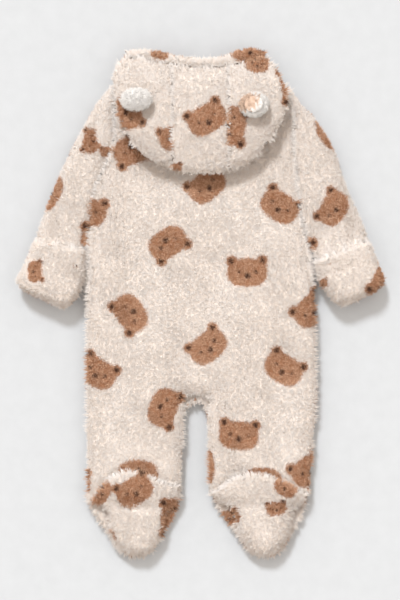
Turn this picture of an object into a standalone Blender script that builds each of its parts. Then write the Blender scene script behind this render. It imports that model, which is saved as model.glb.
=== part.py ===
"""A baby's faux fur pramsuit with a bear-eared hood, lying face down and flat.

It is seen from its back. X runs to the viewer's right, Y towards the head, and Z up from the surface
that it lies on. The origin is on that surface, under the middle of the garment. The cloth is a knitted
backing with a deep pile, so each wall is as thick as the backing and the pile together. The front
panels, the zip and the feet's uppers are the lower layer. The back, the soles and the tops of the
sleeves are the upper layer, and the hood lies back on them in two layers more.
"""

import bmesh
import bpy
import numpy as np
from mathutils import Matrix, Vector

MM = 0.001
NAME = "faux_fur_pramsuit"

# Driving sizes, in metres
MID = 9.5 * MM  # height of the plane in which the lower and upper layers meet
GAP = 0.3 * MM  # between pieces that are sewn or lie together
TOP = 19.0 * MM  # top of the pile over both layers
EDGE = 1.2 * MM  # thickness that is left at a side seam, where the pile rolls away
ROLL = 14.0 * MM  # width of the rolled side edges
LOW_ROLL = 9.0 * MM  # the same, on the side that lies on the surface
SEAM_DIP = 1.8 * MM  # depth of the valley along a seam
SEAM_WIDTH = 4.0 * MM
ARMPIT = 98.0 * MM  # where the armholes meet the side seams
NECK = 252.0 * MM  # the line of the shoulders and the neck
CROTCH = -106.0 * MM
CROTCH_ARCH = 2.5 * MM  # rise of the back's edge between the legs
FRONT_CROTCH = -114.4 * MM
ANKLE = -212.0 * MM  # end of the front of the legs
ANKLE_BLEND = -150.0 * MM  # the rows of the legs begin to follow the heel seam here
HEEL_LINE = -205.0 * MM
CROTCH_X = -4.5 * MM
CUFF_WALL = 6.0 * MM
CUFF_TOP = 30.0 * MM
SLIT = 0.8 * MM  # half height of the flat hollow in a sleeve
SLEEVE_WALL = 8.0 * MM  # the same wall where the sleeve folds over at its side
SLEEVE_CELLS = 6  # across the flat part of a sleeve or cuff
ZIP_X = -3.0 * MM
ZIP_TOP = 248.0 * MM
ZIP_END = -84.0 * MM
TAPE_HALF = 13.0 * MM
TAPE = 0.9 * MM
CHAIN_HALF = 2.6 * MM
CHAIN = 1.7 * MM
CHANNEL_ROLL = 4.5 * MM
SLIDER = (8.0 * MM, 11.0 * MM, 3.6 * MM)
PULLER = (6.0 * MM, 22.0 * MM, 1.0 * MM)
SOLE_TOP = 24.0 * MM
SOLE_ROLL = 17.0 * MM
HOOD_WALL = 9.5 * MM
BACK_FOLD = 1.6 * MM  # the most that a soft fold lifts the back under the hood
HOOD_ROLL = 15.0 * MM
HOOD_BEND = 220.0 * MM  # above this line the hood's layers bend down over the shoulders
HOOD_BEND_GAP = 0.9 * MM
HOOD_SEAM_LEFT = -32.7 * MM
HOOD_SEAM_RIGHT = 31.6 * MM
EDGE_STEPS = np.array([0.0, 0.11, 0.4, 1.0])  # shares of a roll's width at which it is cut

CREAM = (0.80, 0.69, 0.60)
TAN = (0.42, 0.25, 0.15)
WHITE = (0.86, 0.80, 0.74)
ZIP_CREAM = (0.75, 0.65, 0.55)
FUR = (CREAM, 0.95)  # the garment's colour and roughness
METAL = (0.72, 0.68, 0.62)


def table(names, *rows):
    """Named columns, in metres, from rows in millimetres."""
    return {name: np.array(values) * MM for name, values in zip(names.split(), zip(*rows))}


BODY = table(
    "y left right",
    (252, -101.8, 98.5),
    (222, -99.0, 104.5),
    (193, -99.0, 107.0),
    (169, -103.5, 107.4),
    (148, -115.0, 108.7),
    (127, -123.0, 111.0),
    (107, -128.2, 115.0),
    (78, -129.9, 120.2),
    (47, -130.5, 127.2),
    (12, -131.1, 130.5),
    (-31, -131.7, 132.3),
    (-71, -132.3, 132.8),
    (-108, -131.7, 132.8),
    (-130, -131.5, 131.7),
    (-157, -131.1, 129.4),
    (-186, -131.1, 126.5),
    (-214, -131.1, 125.3),
    (-230, -128.0, 123.5),
)
LEG_INSIDE = table(
    "y left right",
    (-106, -20.7, 12.6),
    (-130, -19.5, 6.3),
    (-157, -20.7, 7.5),
    (-186, -21.8, 8.6),
    (-230, -22.6, 9.4),
)
FRONT_INSIDE = table(
    "y left right",
    (252, -7.75, 1.75),
    (-82, -7.75, 1.75),
    (-90, -3.15, -2.85),
    (-114.4, -3.15, -2.85),
    (-118, -11.0, 2.2),
    (-123, -16.5, 4.8),
    (-130, -19.5, 6.3),
    (-157, -20.7, 7.5),
    (-186, -21.8, 8.6),
    (-230, -22.6, 9.4),
)
# The heel seam's height, from the outer side of the leg to the inner side
HEEL = {
    "left": table("x y", (-131, -229), (-124, -227), (-114.4, -210), (-96.6, -195.5), (-85, -192),
                  (-64.4, -195.5), (-47.2, -204.7), (-27.6, -209.5), (-22, -211)),
    "right": table("x y", (9, -219), (19.6, -214), (31, -204.7), (54.6, -195.5), (75.9, -198),
                   (96.6, -206), (110.4, -213), (120, -219), (126, -222)),
}
# Centre lines of the feet and of their soles, and half widths about them
FOOT_X = {
    "left": table("y x", (-293, -74.0), (-262, -75.5), (-236, -76.8), (-212, -76.8)),
    "right": table("y x", (-293, 73.0), (-262, 72.6), (-246, 71.5), (-231, 68.2), (-212, 67.6)),
}
SOLE_X = {
    "left": table("y x", (-293, -72.5), (-212, -73.8)),
    "right": table("y x", (-293, 73.0), (-246, 72.4), (-212, 70.2)),
}
FOOT = table(
    "y foot sole",
    (-212, 54.4, 49.5),
    (-226, 54.0, 48.5),
    (-231, 52.5, 40.0),
    (-238, 49.0, 34.5),
    (-246, 45.4, 33.3),
    (-257.6, 37.9, 32.2),
    (-268, 31.6, 29.0),
    (-278, 26.0, 23.6),
    (-285, 20.5, 17.5),
    (-289.5, 15.5, 12.0),
    (-293, 8.5, 5.5),
)
# Each row is one section across a sleeve, from its outer edge to the edge beside the body
SLEEVE = {
    "left": table("outer_x outer_y inner_x inner_y low high",
                  (-102.1, 252.0, -129.7, 98.0, 0.0, 17.4),
                  (-118.5, 232.3, -130.4, 92.0, 0.0, 19.0),
                  (-133.4, 205.9, -130.7, 87.0, 0.0, 20.0),
                  (-148.4, 178.3, -131.0, 82.8, 0.0, 20.0),
                  (-161.6, 150.7, -131.2, 78.5, 0.0, 19.5),
                  (-173.7, 123.1, -131.4, 74.5, 0.0, 19.5),
                  (-181.7, 100.1, -131.6, 70.5, 0.8, 20.5),
                  (-189.0, 79.0, -131.8, 66.5, 3.0, 22.0)),
    "right": table("outer_x outer_y inner_x inner_y low high",
                   (98.8, 252.0, 116.9, 98.0, 0.0, 17.4),
                   (113.8, 230.0, 119.4, 90.0, 0.0, 19.0),
                   (130.0, 213.9, 121.5, 82.0, 0.0, 20.0),
                   (143.7, 194.3, 123.6, 74.5, 0.0, 20.0),
                   (155.2, 171.4, 125.2, 67.5, 0.0, 19.5),
                   (164.4, 141.4, 126.7, 63.0, 0.0, 19.5),
                   (173.5, 120.0, 127.9, 59.5, 0.0, 19.5),
                   (184.0, 97.0, 129.0, 56.0, 0.8, 20.5),
                   (191.0, 79.5, 130.0, 52.8, 3.0, 22.0)),
}
# Each row is one section across a turned-back cuff, from its upper edge to the hand
CUFF = {
    "left": table("outer_x outer_y inner_x inner_y",
                  (-192.6, 72.5, -131.6, 61.0),
                  (-199.0, 54.0, -131.6, 44.9),
                  (-205.9, 40.3, -132.4, 29.9),
                  (-212.2, 27.6, -140.3, 8.6),
                  (-211.6, 21.9, -148.4, -2.3),
                  (-206.5, 15.5, -155.3, -8.5)),
    "right": table("outer_x outer_y inner_x inner_y",
                   (194.1, 72.5, 129.8, 47.5),
                   (200.7, 54.0, 131.6, 38.0),
                   (205.9, 40.3, 135.0, 25.3),
                   (211.0, 27.6, 142.6, 12.7),
                   (210.0, 20.7, 149.5, 2.3),
                   (203.0, 14.0, 158.9, -6.2)),
}
# Rings along a cuff: the section (a fraction lies between two rows), and how far in from the cuff's
# outside the ring lies at its sides and at its faces
CUFF_RINGS = table(
    "section side face",
    (0, 2.5, 2.5),
    (200, 0.0, 0.0),
    (1000, 0.0, 0.0),
    (2000, 0.0, 0.0),
    (3000, 0.0, 0.0),
    (4000, 0.6, 2.2),
    (5000, 2.2, 8.0),
    (5000, 14.0, 14.2),
    (3800, 14.0, 14.2),
    (3800, 6.0, 6.0),
    (3000, 6.0, 6.0),
    (2000, 6.0, 6.0),
    (1000, 6.0, 6.0),
    (0, 6.0, 6.0),
)
SLEEVE_END = (0.0, 1.0, 2.0, 3.0, 3.7)  # sections of the cuff at which the sleeve inside it is cut
HOOD_OUTLINE = table(
    "left_x left_y right_x right_y",
    (-88.0, 282.9, 75.0, 281.8),
    (-97.5, 271.0, 82.5, 276.0),
    (-101.5, 256.0, 91.0, 261.0),
    (-99.5, 240.0, 98.0, 244.0),
    (-97.0, 222.0, 100.3, 228.0),
    (-91.5, 203.0, 95.5, 211.0),
    (-83.0, 186.0, 86.5, 194.0),
    (-71.5, 172.0, 74.5, 178.5),
    (-58.0, 162.0, 61.5, 164.5),
    (-44.5, 155.5, 48.5, 154.5),
)
HOOD_BOTTOM = table("x y", (-44.5, 155.5), (-32.7, 151.3), (-16, 147), (0, 145.5), (16, 146.3),
                    (31.6, 149.3), (48.5, 154.5))
BAND = table(
    "x seam top",
    (-88.0, 282.9, 289.5),
    (-72.4, 281.2, 292.5),
    (-56.0, 278.6, 291.0),
    (-38.0, 274.2, 287.5),
    (-16.0, 271.4, 282.6),
    (5.0, 269.9, 281.2),
    (26.0, 271.0, 284.0),
    (40.0, 273.9, 290.0),
    (54.0, 277.2, 293.6),
    (75.0, 281.8, 290.0),
)
# Height of the plane in which the hood's two layers meet: it sinks past the shoulders to the surface
HOOD_MID = table("y z", (140, 29.5), (232, 29.5), (252, 26.5), (270, 20.5), (296, 13.0))
# Each ear: its centre, half sizes, the way that its free edge points (degrees), and its tilt (degrees)
EARS = {
    "left": {"at": (-73.3, 230.6), "half": (18.5, 13.5), "turn": -80.0, "tilt": 14.0, "cup": False},
    "right": {"at": (60.0, 224.5), "half": (17.0, 15.0), "turn": -50.0, "tilt": 16.0, "cup": True},
}
EAR_THICK = 7.5 * MM
EAR_LINING = 2.2 * MM
EAR_LINING_SHARE = 0.68  # of the ear's own length and width
EAR_SEAT = 0.5 * MM  # between an ear's root and the hood's fur
# Soft folds in the upper faces: middle, direction from +X, half length, half width, height
FOLDS = table(
    "x y turn long wide high",
    (-109, 203, 88000, 30, 9, 4.5),
    (-123, 196, 84000, 26, 6, -2.5),
    (-168, 84, 80000, 16, 6, -2.0),
    (172, 84, 95000, 18, 6, -2.0),
    (152, 40, 8000, 24, 5, -3.2),
    (183, 60, 60000, 12, 5, -2.4),
    (-138, 34, 10000, 12, 5, -2.8),
    (12.6, -88, 90000, 18, 7, -1.6),
    (-100, 60, 95000, 60, 16, 0.9),
    (95, 20, 88000, 70, 16, 0.9),
    (-10, 90, 20000, 60, 20, 0.9),
    (30, -30, -15000, 70, 22, 0.8),
    (-70, -60, 12000, 40, 18, 0.8),
    (-75, -229, 0, 46, 5, -4.5),
    (70, -230, 0, 44, 5, -4.5),
    (-10, 262, 0, 60, 8, -1.6),
    (62, 250, -40000, 26, 9, 1.6),
    (-70, 262, 40000, 24, 8, 1.4),
    (0, 190, 5000, 60, 18, 1.4),
)


def through(places, values, at):
    """A smooth line through a table's points, read at other places."""
    order = np.argsort(places)
    x, y = places[order], values[order]
    slope = np.gradient(y, x)
    at = np.clip(at, x[0], x[-1])
    i = np.clip(np.searchsorted(x, at) - 1, 0, len(x) - 2)
    width = x[i + 1] - x[i]
    t = (at - x[i]) / width
    rise = (1 + 2 * t) * (1 - t) ** 2 * y[i] + t * t * (3 - 2 * t) * y[i + 1]
    lean = t * (1 - t) ** 2 * slope[i] - t * t * (1 - t) * slope[i + 1]
    return rise + width * lean


def rounded(distance, radius):
    """0 at an edge and 1 from radius inwards, along a quarter circle."""
    inside = 1 - np.clip(distance / radius, 0, 1)
    return np.sqrt(1 - inside**2)


def spread(length, cells, radius=ROLL):
    """Distances across a piece: close together in the rolls at both edges, even between them."""
    middle = np.linspace(radius, length - radius, cells + 1)[1:-1]
    return np.concatenate([EDGE_STEPS * radius, middle, length - EDGE_STEPS[::-1] * radius])


def armhole_rows():
    """Heights at which the body and the sleeves are cut along the armholes, so that they match."""
    return NECK - spread(NECK - ARMPIT, SLEEVE_CELLS)


def distance_to(plan, line):
    """Distance in plan from each point of a grid to a line of points."""
    points = plan.reshape(-1, 1, 2)
    start = line[None, :-1]
    along = line[None, 1:] - start
    offset = points - start
    share = (offset * along).sum(-1) / np.maximum((along**2).sum(-1), 1e-12)
    nearest = offset - np.clip(share, 0, 1)[..., None] * along
    return np.linalg.norm(nearest, axis=-1).min(axis=1).reshape(plan.shape[:2])


def nearest_of(plan, lines):
    return np.min([distance_to(plan, line) for line in lines], axis=0)


def relief(x, y):
    """The height that the soft folds add at a place."""
    total = np.zeros_like(x)
    for i in range(len(FOLDS["x"])):
        turn = np.radians(FOLDS["turn"][i])
        dx, dy = x - FOLDS["x"][i], y - FOLDS["y"][i]
        along = (dx * np.cos(turn) + dy * np.sin(turn)) / FOLDS["long"][i]
        across = (dy * np.cos(turn) - dx * np.sin(turn)) / FOLDS["wide"][i]
        total = total + FOLDS["high"][i] * np.exp(-(across**2) - along**4)
    return total


def upper_face(plan, top, rolled, seams, radius=ROLL, base=MID + GAP / 2):
    """Heights of a piece's upper face: full inside, rolled to the edges, with a valley at each seam."""
    fill = rounded(nearest_of(plan, rolled), radius)
    height = top + relief(plan[..., 0], plan[..., 1])
    if seams:
        height = height - SEAM_DIP * np.exp(-((nearest_of(plan, seams) / SEAM_WIDTH) ** 2))
    return base + EDGE + (height - base - EDGE) * fill


def lower_face(plan, rolled, seams, base=MID - GAP / 2):
    """Heights of the face that lies on the surface: flat, and lifted at the edges."""
    lift = (base - EDGE) * (1 - rounded(nearest_of(plan, rolled), LOW_ROLL))
    if seams:
        lift = np.maximum(lift, SEAM_DIP * np.exp(-((nearest_of(plan, seams) / SEAM_WIDTH) ** 2)))
    return np.where(lift < 0.02 * MM, 0.0, lift)


def material(name, colour, roughness, metallic=0.0):
    made = bpy.data.materials.new(name)
    made.use_nodes = True
    shader = made.node_tree.nodes["Principled BSDF"]
    shader.inputs["Base Color"].default_value = (*colour, 1.0)
    shader.inputs["Roughness"].default_value = roughness
    shader.inputs["Metallic"].default_value = metallic
    return made


def add_object(name, form, look):
    """An object of its own from a bmesh, in the garment's collection."""
    bmesh.ops.recalc_face_normals(form, faces=form.faces[:])
    mesh = bpy.data.meshes.new(name)
    form.to_mesh(mesh)
    form.free()
    mesh.shade_smooth()
    made = bpy.data.objects.new(name, mesh)
    mesh.materials.append(material(f"{name}_finish", *look))
    bpy.data.collections[NAME].objects.link(made)
    return made


def panel(name, plan, low, high, look, missing=()):
    """A cloth panel: a grid of points in plan, with the heights of its two faces at each of them."""
    rows, columns = plan.shape[0] - 1, plan.shape[1] - 1
    form = bmesh.new()
    bmesh.ops.create_grid(form, x_segments=columns, y_segments=rows, size=0.5)

    def place(point):
        return round((point.y + 0.5) * rows), round((point.x + 0.5) * columns)

    def cell(face):
        middle = face.calc_center_median()
        return int((middle.y + 0.5) * rows), int((middle.x + 0.5) * columns)

    left_out = [face for face in form.faces if cell(face) in missing]
    if left_out:
        bmesh.ops.delete(form, geom=left_out, context="FACES")
    grown = bmesh.ops.extrude_face_region(form, geom=form.faces[:])
    above = {item for item in grown["geom"] if isinstance(item, bmesh.types.BMVert)}
    for vertex in form.verts:
        at = place(vertex.co)
        vertex.co = Vector((*plan[at], (high if vertex in above else low)[at]))
    return add_object(name, form, look)


def tube(name, rings, look):
    """A tube from closed rings of points, outside and then inside, of which the last joins the first."""
    form = bmesh.new()
    loops = [[form.verts.new(point) for point in ring] for ring in rings]
    for one, two in zip(loops, loops[1:] + loops[:1]):
        for k in range(len(one)):
            after = (k + 1) % len(one)
            form.faces.new((one[k], one[after], two[after], two[k]))
    return add_object(name, form, look)


def block(name, centre, size, bevel, look):
    """A small block with rounded edges."""
    form = bmesh.new()
    bmesh.ops.create_cube(form, size=1.0, matrix=Matrix.Diagonal((*size, 1.0)))
    bmesh.ops.bevel(form, geom=form.edges[:], offset=bevel, segments=2, profile=0.5,
                    affect="EDGES", material=-1)
    bmesh.ops.translate(form, verts=form.verts[:], vec=centre)
    return add_object(name, form, look)


def side_x(side, y):
    return through(BODY["y"], BODY[side], y)


def back_plan():
    """The back's grid: rows from the shoulders to the heels, columns across both legs."""
    trunk = np.linspace(ARMPIT, CROTCH + ROLL, 12)[1:]
    crotch = CROTCH + EDGE_STEPS[2:0:-1] * ROLL
    legs = np.linspace(CROTCH, HEEL_LINE, 9)
    heights = np.concatenate([armhole_rows(), trunk, crotch, legs])
    crotch_row = len(heights) - len(legs)
    rows = []
    for y in heights:
        inner = np.minimum(y, CROTCH)
        inner_left = through(LEG_INSIDE["y"], LEG_INSIDE["left"], inner)
        inner_right = through(LEG_INSIDE["y"], LEG_INSIDE["right"], inner)
        left, right = side_x("left", y), side_x("right", y)
        left_leg = left + spread(inner_left - left, 6)
        right_leg = inner_right + spread(right - inner_right, 6)
        row = np.concatenate([left_leg, [CROTCH_X], right_leg])
        rows.append(np.stack([row, np.full_like(row, y)], axis=1))
    plan = np.array(rows)
    middle = plan.shape[1] // 2
    plan[crotch_row, middle, 1] += CROTCH_ARCH
    plan[crotch_row, middle + 1, 1] -= CROTCH_ARCH
    share = np.clip((ANKLE_BLEND - heights) / (ANKLE_BLEND - HEEL_LINE), 0, 1) ** 1.3
    for side, part in (("left", slice(0, middle)), ("right", slice(middle + 1, None))):
        seam = through(HEEL[side]["x"], HEEL[side]["y"], plan[-1, part, 0])
        plan[:, part, 1] += share[:, None] * (seam - HEEL_LINE)[None]
    return plan, crotch_row, middle


def build_back(plan, crotch_row, middle):
    """One panel for the whole back, both legs included, down to the heel seams."""
    arch = plan[crotch_row, middle - 1 : middle + 2]
    arm = len(armhole_rows())
    sides = [plan[arm - 1 :, 0], plan[arm - 1 :, -1]]
    inside = [plan[crotch_row:, middle - 1], plan[crotch_row:, middle + 1]]
    armholes = [plan[:arm, 0], plan[:arm, -1]]
    heels = [plan[-1, :middle], plan[-1, middle + 1 :]]
    high = upper_face(plan, TOP, [plan[0], arch, *sides, *inside], armholes + heels)
    low = np.full(high.shape, MID + GAP / 2)
    missing = {(r, c) for r in range(crotch_row, len(plan) - 1) for c in (middle - 1, middle)}
    return panel("back", plan, low, high, FUR, missing)


def build_front(side):
    """Half of the front, from the neck to the ankle, with its edge beside the zip."""
    trunk = np.linspace(ARMPIT, FRONT_CROTCH, 12)[1:]
    fork = np.array([-118.0, -123.0, -130.0]) * MM
    heights = np.concatenate([armhole_rows(), trunk, fork, np.linspace(fork[-1], ANKLE, 5)[1:]])
    rows = []
    for y in heights:
        centre = np.interp(-y, -FRONT_INSIDE["y"], FRONT_INSIDE[side])
        outer = side_x(side, y)
        sign = np.sign(centre - outer)
        row = outer + sign * spread(abs(centre - outer), 4, LOW_ROLL)
        rows.append(np.stack([row, np.full_like(row, y)], axis=1))
    plan = np.array(rows)
    arm = len(armhole_rows())
    legs = plan[:, 0, 1] <= FRONT_CROTCH
    rolled = [plan[arm - 1 :, 0], plan[0], plan[legs, -1]]
    low = lower_face(plan, rolled, [plan[:arm, 0], plan[-1]])
    beside = distance_to(plan, plan[~legs, -1])
    lift = (MID - EDGE - TAPE - GAP) * (1 - rounded(beside, CHANNEL_ROLL))
    low = np.maximum(low, np.where(plan[..., 1] > ZIP_END, 0.75, 0.5) * lift)
    high = np.full(low.shape, MID - GAP / 2)
    under_tape = (np.abs(plan[..., 0] - ZIP_X) < TAPE_HALF + 4 * MM) & (plan[..., 1] > ZIP_END - 12 * MM)
    high[under_tape] -= TAPE + GAP
    return panel(f"front_{side}", plan, low, high, FUR)


def section_point(table_, section):
    """Both ends of a sleeve's or cuff's section, which may lie between two rows."""
    places = np.arange(len(table_["outer_x"]), dtype=float)
    read = [np.interp(section, places, table_[name])
            for name in ("outer_x", "outer_y", "inner_x", "inner_y")]
    return np.array(read[:2]), np.array(read[2:])


def flat_ring(start, end, low, high, side=0.0, radius=ROLL, bulge=None, folded=True, length=None):
    """A flattened ring round a section of cloth, inset at its sides."""
    length = length or np.linalg.norm(end - start)
    inner_radius = max(radius - side, 3 * MM)
    across = spread(length - 2 * side, SLEEVE_CELLS, inner_radius)
    edge = np.minimum(across, length - 2 * side - across)
    share = (across + side) / length
    plan = start + (end - start) * share[:, None]
    if bulge is not None:
        plan = plan + bulge(share)
    middle = (low + high) / 2
    fill = rounded(edge, inner_radius)
    top = middle + (high - middle) * fill
    if folded:
        top = top + relief(plan[:, 0], plan[:, 1]) * fill
    bottom = middle - (middle - low) * fill
    upper = np.column_stack([plan, top])
    under = np.column_stack([plan, bottom])[1:-1]
    return np.concatenate([upper, under[::-1]])


def build_sleeve(side):
    """A sleeve: one tube from the armhole down into the turned-back cuff."""
    rows, cuff = SLEEVE[side], CUFF[side]
    outward = -1 if side == "left" else 1
    first, last = section_point(rows, 0)
    fade_end = 4.0

    def armhole(share, clear):
        """How far the armhole's curve lies from the straight line between its ends."""
        chord = first + (last - first) * share[:, None]
        curve = side_x(side, chord[:, 1]) + outward * clear
        return np.column_stack([curve - chord[:, 0], np.zeros(len(share))])

    def ring(section, wall):
        start, end = section_point(rows, section)
        low, high = (np.interp(section, range(len(rows["low"])), rows[key]) for key in ("low", "high"))
        fade = max(0.0, 1 - section / fade_end) ** 1.5
        if wall:
            low, high = (low + high) / 2 - SLIT, (low + high) / 2 + SLIT
        clear = GAP + 0.1 * wall
        return flat_ring(start, end, low, high, wall, bulge=lambda share: fade * armhole(share, clear),
                         folded=not wall, length=None if section else NECK - ARMPIT)

    def cuff_ring(section, wall):
        start, end = section_point(cuff, section)
        inset = CUFF_WALL + GAP
        low, high = inset, CUFF_TOP - inset
        if wall:
            low, high = CUFF_TOP / 2 - SLIT, CUFF_TOP / 2 + SLIT
        return flat_ring(start, end, low, high, inset + wall, folded=False)

    sections = range(len(rows["low"]))
    outside = [ring(s, 0.0) for s in sections] + [cuff_ring(s, 0.0) for s in SLEEVE_END]
    inside = [ring(s, SLEEVE_WALL) for s in sections] + [cuff_ring(s, SLEEVE_WALL) for s in SLEEVE_END]
    return tube(f"sleeve_{side}", outside + inside[::-1], FUR)


def build_cuff(side):
    """The end of the sleeve turned back on itself, open towards the arm, with a lip at the hand."""
    rings = []
    for section, inset, face in zip(CUFF_RINGS["section"], CUFF_RINGS["side"], CUFF_RINGS["face"]):
        start, end = section_point(CUFF[side], section)
        outside = face < CUFF_WALL and section < 5
        rings.append(flat_ring(start, end, face, CUFF_TOP - face, inset, folded=outside))
    return tube(f"cuff_{side}", rings, FUR)


def toe_rows(start, before_toe, count, last_steps):
    """Heights at which a foot is cut: even from its start, then close together round the toe."""
    toe = FOOT["y"][-1]
    return np.concatenate([np.linspace(start, toe + before_toe, count), toe + np.array(last_steps) * MM])


def foot_plan(side, heights):
    half = through(FOOT["y"], FOOT["foot"], heights)
    centre = through(FOOT_X[side]["y"], FOOT_X[side]["x"], heights)
    rows = []
    for y, middle, width in zip(heights, centre, half):
        row = middle - width + spread(2 * width, 4, min(SOLE_ROLL, 0.6 * width))
        rows.append(np.stack([row, np.full_like(row, y)], axis=1))
    return np.array(rows)


def build_foot(side, back, middle):
    """The foot's upper lies below, and the sole, which meets the leg at the heel seam, on top of it."""
    plan = foot_plan(side, toe_rows(ANKLE - GAP, 10 * MM, 7, (5.5, 2.0, 0)))
    rolled = [plan[:, 0], plan[:, -1], plan[-1]]
    low = lower_face(plan, rolled, [plan[0]])
    high = np.full(low.shape, MID - GAP / 2)
    panel(f"foot_upper_{side}", plan, low, high, FUR)

    seam = back[-1, 1 : middle - 1] if side == "left" else back[-1, middle + 2 : -1]
    heel = seam - np.array([0, 0.5 * MM])
    heights = toe_rows(HEEL_LINE, 12 * MM, 9, (7.0, 3.5, 1.5))
    half = through(FOOT["y"], FOOT["sole"], heights)
    centre = through(SOLE_X[side]["y"], SOLE_X[side]["x"], heights)
    share = (heel[:, 0] - heel[0, 0]) / (heel[-1, 0] - heel[0, 0])
    even = centre[:, None] + np.outer(half, 2 * share - 1)
    follow = np.clip((heights + 236 * MM) / (HEEL_LINE + 236 * MM), 0, 1)[:, None] ** 1.2
    x = follow * heel[:, 0] + (1 - follow) * even
    y = heights[:, None] + follow * (heel[:, 1] - HEEL_LINE)
    plan = np.stack([x, y], axis=2)
    rolled = [plan[:, 0], plan[:, -1], plan[-1]]
    high = upper_face(plan, SOLE_TOP, rolled, [heel], SOLE_ROLL)
    low = np.full(high.shape, MID + GAP / 2)
    panel(f"sole_{side}", plan, low, high, FUR)


def between(left, right, cells, radius):
    """A grid between two edge lines, close together at both of them."""
    rows = []
    for start, end in zip(left, right):
        length = np.linalg.norm(end - start)
        share = spread(length, cells, min(radius, 0.35 * length)) / length
        rows.append(start + (end - start) * share[:, None])
    return np.array(rows)


def hood_mid(plan):
    return through(HOOD_MID["y"], HOOD_MID["z"], plan[..., 1])


def hood_lines():
    """The hood's left edge, right edge and bottom edge, as lines of points."""
    left = np.column_stack([HOOD_OUTLINE["left_x"], HOOD_OUTLINE["left_y"]])
    right = np.column_stack([HOOD_OUTLINE["right_x"], HOOD_OUTLINE["right_y"]])
    bottom = np.column_stack([HOOD_BOTTOM["x"], HOOD_BOTTOM["y"]])
    return left, right, bottom


def band_seam(x):
    return through(BAND["x"], BAND["seam"], x)


def bottom_line(x):
    return through(HOOD_BOTTOM["x"], HOOD_BOTTOM["y"], x)


def hood_panel(name, plan, seams, outline):
    mid = hood_mid(plan)
    high = upper_face(plan, mid + HOOD_WALL, outline, seams, HOOD_ROLL, mid)
    panel(name, plan, mid + GAP / 2, high, FUR)


def build_hood():
    """The hood laid back: three panels and a band on top, and its hidden layers as one solid below."""
    left, right, bottom = hood_lines()
    rows = len(left)
    outline = [left, right, bottom]
    seams = []
    sides = (("left", left, HOOD_SEAM_LEFT - GAP / 2), ("right", right, HOOD_SEAM_RIGHT + GAP / 2))
    for name, edge, x in sides:
        top, low = band_seam(x) - GAP, bottom_line(x)
        seam = np.column_stack([np.full(rows, x), np.linspace(top, low, rows)])
        seams.append(seam)
        pair = (edge, seam) if name == "left" else (seam, edge)
        plan = between(*pair, 3, HOOD_ROLL)
        plan[0, :, 1] = band_seam(plan[0, :, 0]) - GAP
        hood_panel(f"hood_side_{name}", plan, [seam, plan[0]], outline)

    across = np.linspace(HOOD_SEAM_LEFT + GAP / 2, HOOD_SEAM_RIGHT - GAP / 2, 7)
    down = np.concatenate([np.linspace(0, 0.86, 8), [0.94, 0.985, 1.0]])[:, None]
    y = (band_seam(across) - GAP) * (1 - down) + bottom_line(across) * down
    plan = np.stack([np.broadcast_to(across, y.shape), y], axis=2)
    hood_panel("hood_centre", plan, seams + [plan[0]], outline)

    x = np.linspace(BAND["x"][0], BAND["x"][-1], 17)
    seam_y, top_y = band_seam(x), through(BAND["x"], BAND["top"], x)
    rise = np.array([0.0, 0.5, 0.8, 0.95, 1.0])[:, None]
    plan = np.stack([np.broadcast_to(x, (5, len(x))), seam_y + (top_y - seam_y) * rise], axis=2)
    mid = hood_mid(plan)
    ends = [plan[-1], plan[:, 0], plan[:, -1]]
    high = upper_face(plan, mid + HOOD_WALL, ends, [plan[0]], 8 * MM, mid)
    panel("hood_band", plan, mid + GAP / 2, high, FUR)
    build_hood_under(left, right, bottom)


def build_hood_under(left, right, bottom):
    """The hood's hidden layers: on the back below the shoulders, and down to the surface past them."""
    inset = 1.0 * MM
    left, right = left + [inset, 0], right - [inset, 0]
    step = NECK + 1.2 * GAP
    heights = np.concatenate([
        [286 * MM, 284 * MM, 279 * MM, 268 * MM, 258 * MM, step + 0.3 * MM, step],
        np.linspace(NECK - 10 * MM, 162 * MM, 6), [157 * MM, 153 * MM, 150 * MM]])
    rows = []
    for y in heights:
        start = np.interp(-y, -left[:, 1], left[:, 0])
        end = np.interp(-y, -right[:, 1], right[:, 0])
        if y < left[-1, 1]:
            reach = np.sqrt((y - bottom_line(0.0)) / (left[-1, 1] - bottom_line(0.0)))
            start, end = left[-1, 0] * reach, right[-1, 0] * reach
        row = start + spread(end - start, 5, min(12 * MM, 0.3 * (end - start)))
        rows.append(np.stack([row, np.full_like(row, y)], axis=1))
    plan = np.array(rows)
    crest = plan[0, :, 0]
    lift = np.clip(through(BAND["x"], BAND["top"], crest) - 3 * MM - plan[0, :, 1], -6 * MM, 7 * MM)
    for row, share in ((0, 1.0), (1, 1.0), (2, 0.7), (3, 0.3)):
        plan[row, :, 1] += share * lift
    outline = [plan[:, 0], plan[:, -1], plan[0], plan[-1]]
    bend = np.clip((plan[..., 1] - HOOD_BEND) / (10 * MM), 0, 1)
    high = hood_mid(plan) - GAP / 2 - HOOD_BEND_GAP * bend
    rest = np.where(plan[..., 1] > step + 0.1 * MM, 0.0, TOP + BACK_FOLD + GAP)
    low = rest + (high - EDGE - rest) * (1 - rounded(nearest_of(plan, outline), 8 * MM))
    panel("hood_under", plan, low, high, FUR)


def ear_solid(half, thick, sides=20, rows=10):
    """A flattened, rounded disc."""
    form = bmesh.new()
    bmesh.ops.create_uvsphere(form, u_segments=sides, v_segments=rows, radius=1.0,
                              matrix=Matrix.Diagonal((half[0], half[1], thick / 2, 1.0)))
    return form


def hood_top(vertices):
    """The height of the hood's upper face under each vertex."""
    plan = np.array([[(vertex.co.x, vertex.co.y) for vertex in vertices]])
    mid = hood_mid(plan)
    return upper_face(plan, mid + HOOD_WALL, hood_lines(), [], HOOD_ROLL, mid)[0]


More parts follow.
